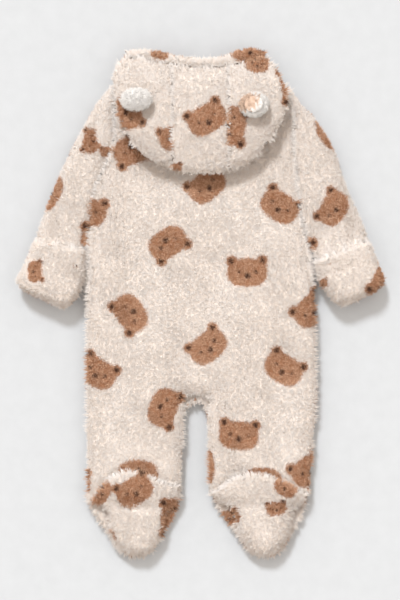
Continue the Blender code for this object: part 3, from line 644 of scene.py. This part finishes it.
def skyline():
    """The height of the garment's top on a grid, with its narrow seams and slits bridged over."""
    if not hasattr(skyline, "rows"):
        low, high = (np.array(corner[:2]) for corner in CAD_BOX)
        start, step = low - SKY_MARGIN, SKY_STEP
        size = np.ceil((high - low + 2 * SKY_MARGIN) / step).astype(int)
        tree = all_cloth()
        down = Vector((0, 0, -1))
        rows = np.zeros(size)
        for i in range(size[0]):
            for j in range(size[1]):
                place = Vector((start[0] + i * step, start[1] + j * step, SKY_FROM))
                hit = tree.ray_cast(place, down)
                rows[i, j] = 0.0 if hit[0] is None else hit[0].z
        most = int(SKY_REACH)
        near = range(-most, most + 1)
        reach = [(i, j) for i in near for j in near if i * i + j * j < SKY_REACH**2]
        rows = np.max([np.roll(rows, shift, axis=(0, 1)) for shift in reach], axis=0)
        rows = np.min([np.roll(rows, shift, axis=(0, 1)) for shift in reach], axis=0)
        skyline.rows, skyline.start, skyline.step = rows, start, step
    return skyline


def sunk(points):
    """How far each point lies below the bridged top of the garment."""
    sky = skyline()
    place = (points[:, :2] - sky.start) / sky.step
    cell = np.clip(place.astype(int), 0, np.array(sky.rows.shape) - 2)
    share = np.clip(place - cell, 0, 1)
    i, j = cell[:, 0], cell[:, 1]
    a = sky.rows[i, j] * (1 - share[:, 0]) + sky.rows[i + 1, j] * share[:, 0]
    b = sky.rows[i, j + 1] * (1 - share[:, 0]) + sky.rows[i + 1, j + 1] * share[:, 0]
    return a * (1 - share[:, 1]) + b * share[:, 1] - points[:, 2]


def valley(points, normal):
    """1 on the slopes of the valleys along seams, down to 0 elsewhere."""
    low = sunk(points)
    inside = np.clip((low - VALLEY_TOP) / VALLEY_BLEND, 0, 1) * (low < VALLEY_END)
    return inside * (normal[:, 2] > VALLEY_TILT)


def seam(points, normal):
    """1 in the shallow dips along seams, down to 0 elsewhere."""
    low = sunk(points)
    inside = np.clip(low / DIP_BLEND, 0, 1) * np.clip((DIP_END - low) / DIP_BLEND, 0, 1)
    return inside * np.clip((normal[:, 2] - DIP_TILT) / DIP_TILT_BLEND, 0, 1)


def smoothed(values, triangles, rounds):
    """Values at vertices, averaged with those around them."""
    edges = np.concatenate([triangles[:, [0, 1]], triangles[:, [1, 2]], triangles[:, [2, 0]]])
    count = np.bincount(edges.ravel(), minlength=len(values))[:, None]
    for _ in range(rounds):
        total = np.zeros_like(values)
        np.add.at(total, edges[:, 0], values[edges[:, 1]])
        np.add.at(total, edges[:, 1], values[edges[:, 0]])
        values = 0.5 * values + 0.5 * total / np.maximum(count, 1)
    return values


def drift(points, distance, seed):
    """Smooth values about 0 that wander over a distance."""
    dice = np.random.default_rng(seed)
    waves = unit(dice.normal(size=(DRIFT_WAVES, 3))) * dice.uniform(*DRIFT_PITCH, size=(DRIFT_WAVES, 1))
    phase = dice.uniform(0, math.tau, DRIFT_WAVES)
    return np.sin(points @ (waves * math.tau / distance).T + phase).sum(axis=1) / DRIFT_SCALE


def creased(x, y):
    """The height that the fine creases add at a place."""
    total = np.zeros_like(x)
    for i in range(len(CREASES["x"])):
        turn = np.radians(CREASES["turn"][i])
        dx, dy = x / MM - CREASES["x"][i], y / MM - CREASES["y"][i]
        along = (dx * np.cos(turn) + dy * np.sin(turn)) / CREASES["long"][i]
        across = (dy * np.cos(turn) - dx * np.sin(turn)) / CREASES["wide"][i]
        total = total + CREASES["high"][i] * MM * np.exp(-(across**2) - along**4)
    return total


# ---- Print ----------------------------------------------------------------------------------------


def heads_on(piece, plan, upper):
    """The print's heads near a piece: its own table above, an even scatter below."""
    if upper and piece in PRINT:
        rows = PRINT[piece]
        return list(zip(rows["x"], rows["y"], rows["turn"], rows["size"]))
    if upper:
        return []
    low, high = plan.min(axis=0) / MM - HEAD_REACH, plan.max(axis=0) / MM + HEAD_REACH
    found = []
    for row in range(-SCATTER_ROWS, SCATTER_ROWS + 1):
        for column in range(-SCATTER_COLUMNS, SCATTER_COLUMNS + 1):
            x = (column + 0.5 * (row % 2)) * SCATTER[0]
            y = row * SCATTER[1]
            if low[0] < x < high[0] and low[1] < y < high[1]:
                turn = (column * SCATTER_TURNS[0] + row * SCATTER_TURNS[1]) % 360
                found.append((x, y, turn, 1.0))
    return found


def within(far, blur):
    """1 inside an edge and 0 outside it. far is the distance outside, and blur the width of the fade."""
    return np.clip(0.5 - far / blur, 0, 1)


def outside_discs(across, up, discs):
    """How far each place is from the nearest of some discs: across, up and radius."""
    return np.min([np.hypot(across - cx, up - cy) - radius for cx, cy, radius in discs], axis=0)


def inked(piece, points, upper, jitter=0.0, seed=0):
    """How much of the print, and of its dark spots, there is at each point."""
    plan = points[:, :2] / MM
    if jitter:
        plan = plan + np.random.default_rng(seed).normal(size=plan.shape) * jitter / MM
    ink, spot = np.zeros(len(plan)), np.zeros(len(plan))
    for face in (True, False):
        chosen = np.flatnonzero(upper == face)
        if not len(chosen):
            continue
        for x, y, turn, size in heads_on(piece, points[chosen, :2], face):
            angle = -math.radians(turn)
            dx, dy = plan[chosen, 0] - x, plan[chosen, 1] - y
            across = (dx * math.cos(angle) - dy * math.sin(angle)) / size
            up = (dx * math.sin(angle) + dy * math.cos(angle)) / size
            outside = np.abs(across / HEAD[0]) ** HEAD[2] + np.abs(up / HEAD[1]) ** HEAD[2] - 1
            edge = np.minimum(outside * HEAD[1] / HEAD[2], outside_discs(across, up, EAR_SPOTS))
            dark = outside_discs(across, up, DARK_SPOTS)
            ink[chosen] = np.maximum(ink[chosen], within(edge, INK_BLUR))
            spot[chosen] = np.maximum(spot[chosen], within(dark, SPOT_BLUR))
    if piece in BARE:
        x, low, high, radius = BARE[piece]
        far = np.hypot(plan[:, 0] - x, plan[:, 1] - np.clip(plan[:, 1], low, high)) - radius
        shown = within(-far, INK_BLUR)
        ink, spot = ink * shown, spot * shown
    return ink, spot


def lined(side, points):
    """How much of the warm plush of an ear's lining, and of the mark in it, there is at each point."""
    x, y, wide, high = LINING[side]
    far = np.hypot((points[:, 0] / MM - x) / wide, (points[:, 1] / MM - y) / high)
    far += LINING_WANDER * drift(points, LINING_WAVE, seed=3)
    mark = np.hypot(points[:, 0] / MM - EAR_MARK[0], points[:, 1] / MM - EAR_MARK[1]) / EAR_MARK[2]
    return within(far - 1, LINING_FADE), MARK_DARK * within(mark - 1, 1)


# ---- Pile -----------------------------------------------------------------------------------------

# Steps of an even sequence over a square, and numbers that hash a cell of a grid into one from 0 to 1
EVEN_STEPS = (0.7548776662466927, 0.5698402909980532)
HASHES = ((127.1, 311.7, 43758.5), (269.5, 183.3, 24634.6))


def scattered(points, triangles, per_area):
    """Even places on triangles: which triangle each is on, and its share of the three corners."""
    area = np.linalg.norm(face_normals(points, triangles), axis=1) / 2
    ends = np.floor(np.cumsum(area * per_area) + 0.5).astype(int)
    which = np.repeat(np.arange(len(triangles)), np.diff(ends, prepend=0))
    index = np.arange(len(which))
    u, v = ((0.5 + index * step) % 1 for step in EVEN_STEPS)
    over = u + v > 1
    u[over], v[over] = 1 - u[over], 1 - v[over]
    return which, np.column_stack([1 - u - v, u, v])


def clumped(plan, cell):
    """The way from each place to the nearest of many scattered middles, and a number for that middle."""
    base = np.floor(plan / cell)
    nearest, way, mark = np.full(len(plan), np.inf), np.zeros_like(plan), np.zeros(len(plan))
    for dx in (-1, 0, 1):
        for dy in (-1, 0, 1):
            corner = base + (dx, dy)
            first, second = (np.modf(np.abs(np.sin(corner @ (a, b)) * c))[0] for a, b, c in HASHES)
            offset = (corner + np.column_stack([first, second])) * cell - plan
            far = (offset**2).sum(axis=1)
            closer = far < nearest
            nearest[closer], way[closer], mark[closer] = far[closer], offset[closer], first[closer]
    return way, mark


def tuft_template():
    """A tuft: the two outer faces of a three-sided point. Its corners, with the tip last, and its faces.

    The first axis runs across the tuft, the second one out of the fur, and the third one to its tip.
    """
    form = bmesh.new()
    bmesh.ops.create_cone(form, cap_ends=False, segments=3, radius1=0.5, radius2=0.0, depth=1.0)
    bmesh.ops.remove_doubles(form, verts=form.verts[:], dist=0.001)
    bmesh.ops.recalc_face_normals(form, faces=form.faces[:])
    under = min(form.faces, key=lambda face: face.normal.y)
    bmesh.ops.delete(form, geom=[under], context="FACES_ONLY")
    corners, faces = arrays_of(form)
    form.free()
    order = np.argsort(corners[:, 2], kind="stable")
    return corners[order], np.argsort(order)[faces]


# How far chance turns a tuft about its own length, and how much its round sides and its tip's way show in
# the shading of its foot and of its tip
TUFT_TWIST, FOOT_ROUND, TIP_ROUND = 0.2, 0.3, 0.15
# Where a tuft lies in its cell of the UV map, as a share of the cell: its start and its size
UV_ACROSS, UV_ALONG = (0.5, 0.95), (0.04, 0.92)


def tuft_mesh(name, roots, tips, width, lit, fur, look):
    """One joined mesh of tufts. lit is the way each one faces, and fur holds its print, shade and spot."""
    corners, faces = tuft_template()
    count, size = len(roots), faces.size
    axis = unit(tips - roots)
    side = unit(np.cross(lit, axis) + TUFT_TWIST * np.random.default_rng(count).normal(size=axis.shape))
    side = unit(side - axis * (side * axis).sum(axis=1, keepdims=True))
    out = np.cross(axis, side)
    ring = side[:, None] * corners[None, :3, :1] + out[:, None] * corners[None, :3, 1:2]
    points = np.concatenate([roots[:, None] + ring * width[:, None, None], tips[:, None]], axis=1)
    points[..., 2] = np.maximum(points[..., 2], REST_GAP)

    mesh = bpy.data.meshes.new(name)
    mesh.vertices.add(4 * count)
    mesh.vertices.foreach_set("co", points.astype(np.float32).ravel())
    mesh.loops.add(size * count)
    every = faces.ravel()[None] + 4 * np.arange(count)[:, None]
    mesh.loops.foreach_set("vertex_index", every.astype(np.int32).ravel())
    mesh.polygons.add(len(faces) * count)
    mesh.polygons.foreach_set("loop_start", np.arange(0, size * count, 3, dtype=np.int32))
    mesh.update(calc_edges=True)
    mesh.shade_smooth()

    # Each tuft's foot takes the roots' colour, with its painted shade, and its tip the tips' colour
    colour = np.zeros((count, 4, 4), dtype=np.float32)
    colour[:, 3, 0] = 1.0
    colour[..., 1:] = fur[:, None]
    give_fur(mesh, colour)

    shading = np.repeat(lit[:, None], 4, axis=1)
    shading[:, :3] = unit((1 - FOOT_ROUND) * shading[:, :3] + FOOT_ROUND * unit(ring))
    shading[:, 3] = unit((1 - TIP_ROUND) * shading[:, 3] + TIP_ROUND * axis)
    mesh.normals_split_custom_set_from_vertices(shading.reshape(-1, 3))

    cells = math.ceil(math.sqrt(count))
    cell = np.stack([np.arange(count) % cells, np.arange(count) // cells], axis=1)[:, None]
    flat = np.column_stack([UV_ACROSS[0] + UV_ACROSS[1] * corners[:, 0],
                            UV_ALONG[0] + UV_ALONG[1] * (corners[:, 2] + 0.5)])
    chart = mesh.uv_layers.new(name="OFBake")
    chart.uv.foreach_set("vector", ((cell + flat[faces.ravel()][None]) / cells).astype(np.float32).ravel())
    mesh.materials.append(look)
    return object_of(name, mesh)


def steepness(normal):
    """1 on upright sides, down to 0 on level ones and on all that faces down."""
    return (1 - np.abs(normal[:, 2])) * np.clip(1 + TILT_GAIN * normal[:, 2], 0, 1)


def leaning(root, normal, way, mark, sizes, seed, dice):
    """How far each tuft's tip leans over, along the surface."""
    count = len(root)
    turn = mark * CLUMP_TURNS * math.tau
    comb = np.column_stack([np.cos(turn), np.sin(turn), np.zeros(count)])
    comb += DRIFT_WAY * np.column_stack([drift(root, DRIFT_LENGTH, seed + k) for k in (1, 2, 3)])
    lean = comb * sizes.lean * CLUMP_WAY + np.column_stack([way * DRAWN_IN, np.zeros(count)])
    lean += dice.normal(size=(count, 3)) * sizes.lean * CHANCE_WAY
    return lean - normal * (lean * normal).sum(axis=1, keepdims=True)


def lay_pile(name, root, normal, depth, tall, fur_of, sizes, look, seed, raised=0.0):
    """Tufts on a surface: root is a point of it, depth how far in the backing lies, tall the tip's height.

    fur_of gives the print and its spots at places near the tufts' tips. raised turns their shading upwards.
    """
    dice = np.random.default_rng(seed)
    count = len(root)
    way, mark = clumped(root[:, :2], sizes.clump)
    rim = np.linalg.norm(way, axis=1) / sizes.clump
    lean = leaning(root, normal, way, mark, sizes, seed, dice)
    level, steep = np.clip(normal[:, 2], 0, 1), steepness(normal)
    lift = np.clip(normal[:, 2] * TILT_GAIN, 0, 1) * np.clip(sunk(root) - LIFT_FROM, 0, LIFT_MOST)
    low = valley(root, normal)
    start = root - normal * (depth + ROOT_SINK)[:, None]
    start[:, 2] += ROOT_LIFT * lift
    dome = DOME_DEPTH * np.clip(rim - DOME_TOP, 0, DOME_REACH)
    tips = root + normal * (tall - dome)[:, None] + lean
    tips[:, 2] += lift
    across = np.maximum(seam(root, normal) * dice.uniform(*ACROSS_DIP, count),
                        low * dice.uniform(*ACROSS_VALLEY, count))
    tips[:, :2] += unit(normal[:, :2]) * across[:, None] * MM

    # Painted light and shade: tips in a clump's middle and on a crease's ridge are lighter, and those round
    # it, in
    #     # a crease's dip, in a valley and on a side are darker
    ink, spot = fur_of(root + INK_AT * lean)
    chance = dice.normal(size=count)
    shade = SHADE_TOP - SHADE_RIM * rim + SHADE_CHANCE * chance + SHADE_CLUMP * (mark - 0.5)
    shade = np.clip(shade, 0, 1)
    shade = shade + (SHADE_VALLEY - shade) * low
    crease = np.clip(creased(root[:, 0], root[:, 1]) / CREASE_FULL, *CREASE_LIMITS)
    shade += SHADE_CREASE * crease * level
    fur = np.column_stack([ink, np.clip(shade - SHADE_SIDE * steep, 0, 1), spot])
    upwards = LIT_LEVEL * level + LIT_SIDE * steep + LIT_VALLEY * low + raised
    lit = unit(normal + upwards[:, None] * (0, 0, 1))
    width = sizes.width * dice.uniform(*WIDTH_CHANCE, count)
    width = width * (1 - WIDTH_SIDE * steep + WIDTH_VALLEY * low)
    order = np.argsort(root[:, 1], kind="stable")
    pieces = math.ceil(count / sizes.most)
    made = []
    for k, part in enumerate(np.array_split(order, pieces)):
        part = np.sort(part)
        label = name if pieces == 1 else f"{name}_{k + 1}"
        piece = tuft_mesh(label, start[part], tips[part], width[part], lit[part], fur[part], look)
        dress(piece)
        made.append(piece)
    return made


# ---- Pieces ---------------------------------------------------------------------------------------


def surface_from(name, points, ways, start, most, missed):
    """How far a CAD node's surface is from a start along each point's way, or the value for a miss."""
    solid = solid_of(name)
    rays = ((Vector(point), Vector(way)) for point, way in zip(points, ways))
    hits = [solid.ray_cast(point + way * start, way, most) for point, way in rays]
    return np.array([missed if hit[0] is None else hit[3] for hit in hits])


def rooted(points, normal, triangles, per_area):
    """Even places on triangles: each one's corners, its share of them, its place and its normal."""
    which, share = scattered(points, triangles, per_area)
    corners = triangles[which]
    return corners, share, at_places(points, corners, share), unit(at_places(normal, corners, share))


def backed(node, form, fur, look):
    """A backing from a bmesh, with tip, print, shade and spot at each vertex, in place of a CAD node."""
    mesh = mesh_of(f"{node}_cloth", form)
    give_fur(mesh, fur)
    mesh.materials.append(looks()[look])
    piece = object_of(f"{node}_cloth", mesh)
    dress(piece, node)
    return piece


def shell_form(name, cell):
    """The part of a CAD node's form that shows, with two rings of faces past its edge."""
    form = remeshed(name, cell)
    points, triangles = arrays_of(form)
    free = open_faces(points, triangles)
    kept = {face for face, out in zip(form.faces, free) if out}
    for _ in range(2):
        kept |= {near for face in kept for vertex in face.verts for near in vertex.link_faces}
    hidden = [face for face in form.faces if face not in kept]
    bmesh.ops.delete(form, geom=hidden, context="FACES")
    return form


def cloth(name, sizes):
    """The backing of one cloth piece and the pile on it, in place of its CAD node."""
    form = shell_form(name, sizes.cell)
    points, triangles = arrays_of(form)
    free = open_faces(points, triangles)
    direction = face_normals(points, triangles)
    normal = vertex_normals(direction * free[:, None], triangles, len(points), rounds=1)
    thick = surface_from(name, points, -normal, SEEN_INSIDE, THICKEST, THICKEST)
    showing = at_vertices(free[:, None] * 1.0, triangles, len(points))[:, 0] > 0
    upward = np.clip(normal[:, 2], 0, 1) * showing
    wave = creased(points[:, 0], points[:, 1]) + WAVE * drift(points, WAVE_LENGTH, seed=5)
    points[:, 2] += upward * wave
    depth = np.minimum(sizes.depth, PILE_SHARE * thick)
    resting = normal[:, 2] < RESTING_TILT
    depth[resting] = np.minimum(depth[resting], RESTING_DEPTH)
    depth = smoothed(depth[:, None], triangles, rounds=3)[:, 0]

    piece = backing(name, form, points, normal, depth, sizes.wall)
    above = unit(direction[free])[:, 2] > BELOW_TILT
    dense = np.where(above, 1 / sizes.gap**2, 1 / sizes.gap_below**2)
    corners, share, root, facing = rooted(points, normal, triangles[free], dense)
    seed = sum(map(ord, name))
    dice = np.random.default_rng(seed)
    tall = surface_from(name, root, facing, -SEEN_BACK, SEEN_BEYOND + SEEN_BACK, SEEN_BACK) - SEEN_BACK
    tall += dice.uniform(*TIP_STRAY, len(root)) * MM
    fuzz = dice.uniform(*SIDE_FUZZ, len(root)) * MM + np.clip(SUNK_FUZZ * sunk(root), 0, SUNK_FUZZ_MOST)
    tall += steepness(facing) * fuzz
    upper = facing[:, 2] > 0
    piles = lay_pile(f"{name}_pile", root, facing, at_places(depth, corners, share), tall,
                     lambda places: inked(name, places, upper, INK_STRAY, seed),
                     sizes, looks()["faux_fur"], seed)


def backing(name, form, points, normal, depth, wall):
    """The knitted backing under the pile: the form sunk in by the pile's depth, with a wall."""
    dip = seam(points, normal)[:, None]
    inside = points - unit(normal * (1 - dip) + dip * (0, 0, 1)) * depth[:, None]
    for vertex, place in zip(form.verts, inside):
        vertex.co = place
    bmesh.ops.smooth_vert(form, verts=form.verts[:], factor=0.35,
                          use_axis_x=True, use_axis_y=True, use_axis_z=True)
    for vertex in form.verts:
        vertex.co.z = max(vertex.co.z, wall + REST_GAP)
    ink, spot = inked(name, points, normal[:, 2] > 0)
    # Mostly the roots' colour, with its painted shade
    tip, shade = np.full(len(points), BACKING_TIP), np.full(len(points), BACKING_SHADE)
    piece = backed(name, form, np.column_stack([tip, ink, shade, spot]), "fur_backing")
    modifier = piece.modifiers.new("Wall", "SOLIDIFY")
    modifier.thickness = wall
    modifier.offset = -1.0
    return piece


class CreamFur(bpy.types.Operator):
    """What the operators that make cloth have in common."""

    bl_options = {"REGISTER", "UNDO"}
    pieces = ()

    def execute(self, context):
        for name in self.pieces:
            cloth(name, context.scene.pramsuit_sizes)
        return {"FINISHED"}


class PRAMSUIT_OT_body(CreamFur):
    """Makes the back and both fronts: their backing and their pile."""

    bl_idname = "pramsuit.body"
    bl_label = "Back and fronts"
    pieces = ("front_left", "front_right", "back")


class PRAMSUIT_OT_sleeves(CreamFur):
    """Makes the sleeves and their turned-back cuffs."""

    bl_idname = "pramsuit.sleeves"
    bl_label = "Sleeves and cuffs"
    pieces = ("sleeve_left", "sleeve_right", "cuff_left", "cuff_right")


class PRAMSUIT_OT_feet(CreamFur):
    """Makes the feet: their uppers and their soles."""

    bl_idname = "pramsuit.feet"
    bl_label = "Feet"
    pieces = ("foot_upper_left", "foot_upper_right", "sole_left", "sole_right")


class PRAMSUIT_OT_hood(CreamFur):
    """Makes the hood: its hidden layers, its three panels and its band."""

    bl_idname = "pramsuit.hood"
    bl_label = "Hood"
    pieces = ("hood_under", "hood_centre", "hood_side_left", "hood_side_right", "hood_band")


class PRAMSUIT_OT_ears(bpy.types.Operator):
    """Makes the ears: long white pile outside and short plush inside."""

    bl_idname = "pramsuit.ears"
    bl_label = "Ears"
    bl_options = {"REGISTER", "UNDO"}

    def execute(self, context):
        for side in ("left", "right"):
            outer, _ = self.half(side, "outer", context.scene.pramsuit_sizes)
            lining, pile = self.half(side, "lining", context.scene.pramsuit_sizes)
        return {"FINISHED"}

    def half(self, side, part, sizes):
        """One ear's outer fur or its lining: the backing and its pile."""
        depth, sink, gap, low, high, look, slot = EARS[part]
        node = f"ear_{side}_{part}"
        form = remeshed(node, EAR_CELL)
        points, triangles = arrays_of(form)
        direction = face_normals(points, triangles)
        normal = vertex_normals(direction, triangles, len(points), rounds=2)
        centre = (points.min(axis=0) + points.max(axis=0)) / 2
        for vertex, place in zip(form.verts, points - normal * depth * sink):
            vertex.co = place
        # Half the roots' colour, with its painted shade, and a middling shade
        fur = np.tile([0.5, 0.0, 0.5, 0.0], (len(points), 1))
        fur[:, 1] = lined(side, points)[0]
        piece = backed(node, form, fur, look)

        *_, root, facing = rooted(points, normal, triangles, 1 / gap**2)
        if part == "outer":
            facing = unit(facing + EAR_SPLAY * unit((root - centre) * EAR_SPLAY_AXES))
        tall = np.random.default_rng(len(node)).uniform(low, high, len(root)) * MM
        pile = lay_pile(f"{node}_pile", root, facing, np.full(len(root), depth), tall,
                        lambda places: lined(side, places),
                        sizes, looks()[look], EAR_SEED + len(node), EAR_RAISED)
        return piece, pile


class PRAMSUIT_OT_zip(bpy.types.Operator):
    """Makes the zip on the hidden front: woven tape, interlocked teeth, slider and soft puller."""

    bl_idname = "pramsuit.zip"
    bl_label = "Zip"
    bl_options = {"REGISTER", "UNDO"}

    def execute(self, context):
        tape = NODES["zip_tape"]
        tape.material_slots[0].material = looks()["zip_tape_weave"]
        self.teeth()
        self.slider()
        self.puller()
        return {"FINISHED"}

    def teeth(self):
        """Teeth of the two sides, each let in between two of the other."""
        low, high = (Vector(corner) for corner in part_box("zip_chain"))
        form = bmesh.new()
        for k in range(int((high.y - low.y) / TOOTH_PITCH)):
            side = 1 if k % 2 else -1
            place = Vector(((low.x + high.x) / 2 + side * TOOTH_OFFSET,
                            low.y + TOOTH_PITCH * (k + 0.5),
                            (low.z + high.z) / 2))
            size = (TOOTH_WIDTH, TOOTH_PITCH * TOOTH_SHARE, high.z - low.z)
            rounded_block(form, place, size, TOOTH_BEVEL, 1)
        add_piece(form, "zip_teeth", "zip_teeth_resin", "zip_chain")

    def slider(self):
        """A metal slider: a body with flared wings, and a bridge below it for the puller."""
        low, high = (Vector(corner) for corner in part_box("zip_slider"))
        centre, size = (low + high) / 2, high - low
        form = bmesh.new()
        for rise, share, bevel, taper in SLIDER_BLOCKS:
            place = centre + Vector((0, 0, rise * size.z))
            rounded_block(form, place, [a * b for a, b in zip(share, size)], bevel, 2, taper)
        add_piece(form, "zip_slider_metal", "slider_metal", "zip_slider")

    def puller(self):
        """A short folded tape, drawn in at its loose end."""
        low, high = (Vector(corner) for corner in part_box("zip_puller"))
        centre, size = (low + high) / 2, high - low
        form = bmesh.new()
        matrix = Matrix.Translation(centre) @ Matrix.Diagonal((size.x, size.y, 1.0, 1.0))
        bmesh.ops.create_grid(form, x_segments=8, y_segments=26, size=0.5, matrix=matrix)
        for vertex in form.verts:
            end = min(1.0, (vertex.co.y - low.y) / PULLER_END)
            wide = PULLER_TAPER + (1 - PULLER_TAPER) * math.sqrt(max(end, 0.0))
            vertex.co.x = centre.x + (vertex.co.x - centre.x) * wide
        bmesh.ops.solidify(form, geom=form.faces[:], thickness=size.z)
        bmesh.ops.translate(form, verts=form.verts[:], vec=(0, 0, size.z / 2))
        add_piece(form, "zip_puller_tape", "puller_tape", "zip_puller")


def rounded_block(form, place, size, bevel, segments, taper=1.0):
    """Adds a box with bevelled edges. taper is the share of its width that is left at its lower end."""
    matrix = Matrix.Translation(place) @ Matrix.Diagonal((*size, 1.0))
    cube = bmesh.ops.create_cube(form, size=1.0, matrix=matrix)
    for vertex in cube["verts"]:
        if vertex.co.y < place.y:
            vertex.co.x = place.x + (vertex.co.x - place.x) * taper
    edges = list({edge for vertex in cube["verts"] for edge in vertex.link_edges})
    bmesh.ops.bevel(form, geom=edges, offset=bevel, segments=segments, profile=0.5,
                    affect="EDGES", material=-1)


def add_piece(form, name, look, node):
    """An object from a bmesh, riding on the garment in place of a CAD node."""
    bmesh.ops.recalc_face_normals(form, faces=form.faces[:])
    mesh = mesh_of(name, form)
    mesh.materials.append(looks()[look])
    dress(object_of(name, mesh), node)


class PRAMSUIT_OT_stage(bpy.types.Operator):
    """Makes the pale surface, the soft light and the camera straight above."""

    bl_idname = "pramsuit.stage"
    bl_label = "Surface, light and camera"
    bl_options = {"REGISTER", "UNDO"}

    def execute(self, context):
        scene = context.scene
        form = bmesh.new()
        bmesh.ops.create_grid(form, x_segments=24, y_segments=24, size=4.0)
        mesh = mesh_of("floor", form)
        colour = scene.pramsuit_colours.floor
        paper = smooth_material("floor_paper", colour, roughness=0.85, metallic=0.0, scale=60.0)
        mesh.materials.append(paper)
        object_of("floor", mesh)

        key = bpy.data.lights.new("key", "SUN")
        key.energy = 2.69
        key.angle = math.radians(11)
        key.color = (0.865, 0.932, 1.0)
        lamp = object_of("key", key)
        lamp.rotation_euler = Vector(SUN_FROM).to_track_quat("Z", "Y").to_euler()

        world = bpy.data.worlds.new("pale_room")
        world.use_nodes = True
        background = world.node_tree.nodes["Background"]
        background.inputs["Color"].default_value = (1.0, 0.96, 0.92, 1.0)
        background.inputs["Strength"].default_value = 0.95
        scene.world = world

        camera = bpy.data.cameras.new("camera")
        camera.sensor_width = 36.0
        camera.lens = camera.sensor_width * (CAMERA[2] - SEEN_AT) / SEEN_HEIGHT
        stand = object_of("camera", camera)
        stand.location = CAMERA
        scene.camera = stand
        scene.view_settings.view_transform = "Standard"
        return {"FINISHED"}


OPERATORS = (
    PRAMSUIT_OT_stage,
    PRAMSUIT_OT_body,
    PRAMSUIT_OT_sleeves,
    PRAMSUIT_OT_feet,
    PRAMSUIT_OT_hood,
    PRAMSUIT_OT_ears,
    PRAMSUIT_OT_zip,
)


class PRAMSUIT_PT_panel(bpy.types.Panel):
    """Lists the operators and the sizes and colours that they read."""

    bl_idname = "PRAMSUIT_PT_panel"
    bl_label = "Faux fur pramsuit"
    bl_space_type = "VIEW_3D"
    bl_region_type = "UI"
    bl_category = "Pramsuit"

    def draw(self, context):
        for group in (context.scene.pramsuit_sizes, context.scene.pramsuit_colours):
            box = self.layout.box()
            for name in group.__annotations__:
                box.prop(group, name)
        for operator in OPERATORS:
            self.layout.operator(operator.bl_idname)


CLASSES = (PramsuitSizes, PramsuitColours, *OPERATORS, PRAMSUIT_PT_panel)


def register():
    for item in CLASSES:
        bpy.utils.register_class(item)
    bpy.types.Scene.pramsuit_sizes = PointerProperty(type=PramsuitSizes)
    bpy.types.Scene.pramsuit_colours = PointerProperty(type=PramsuitColours)


def unregister():
    del bpy.types.Scene.pramsuit_sizes
    del bpy.types.Scene.pramsuit_colours
    for item in reversed(CLASSES):
        bpy.utils.unregister_class(item)


def main():
    register()
    for operator in OPERATORS:
        group, name = operator.bl_idname.split(".")
        getattr(getattr(bpy.ops, group), name)()


if __name__ == "__main__":
    main()
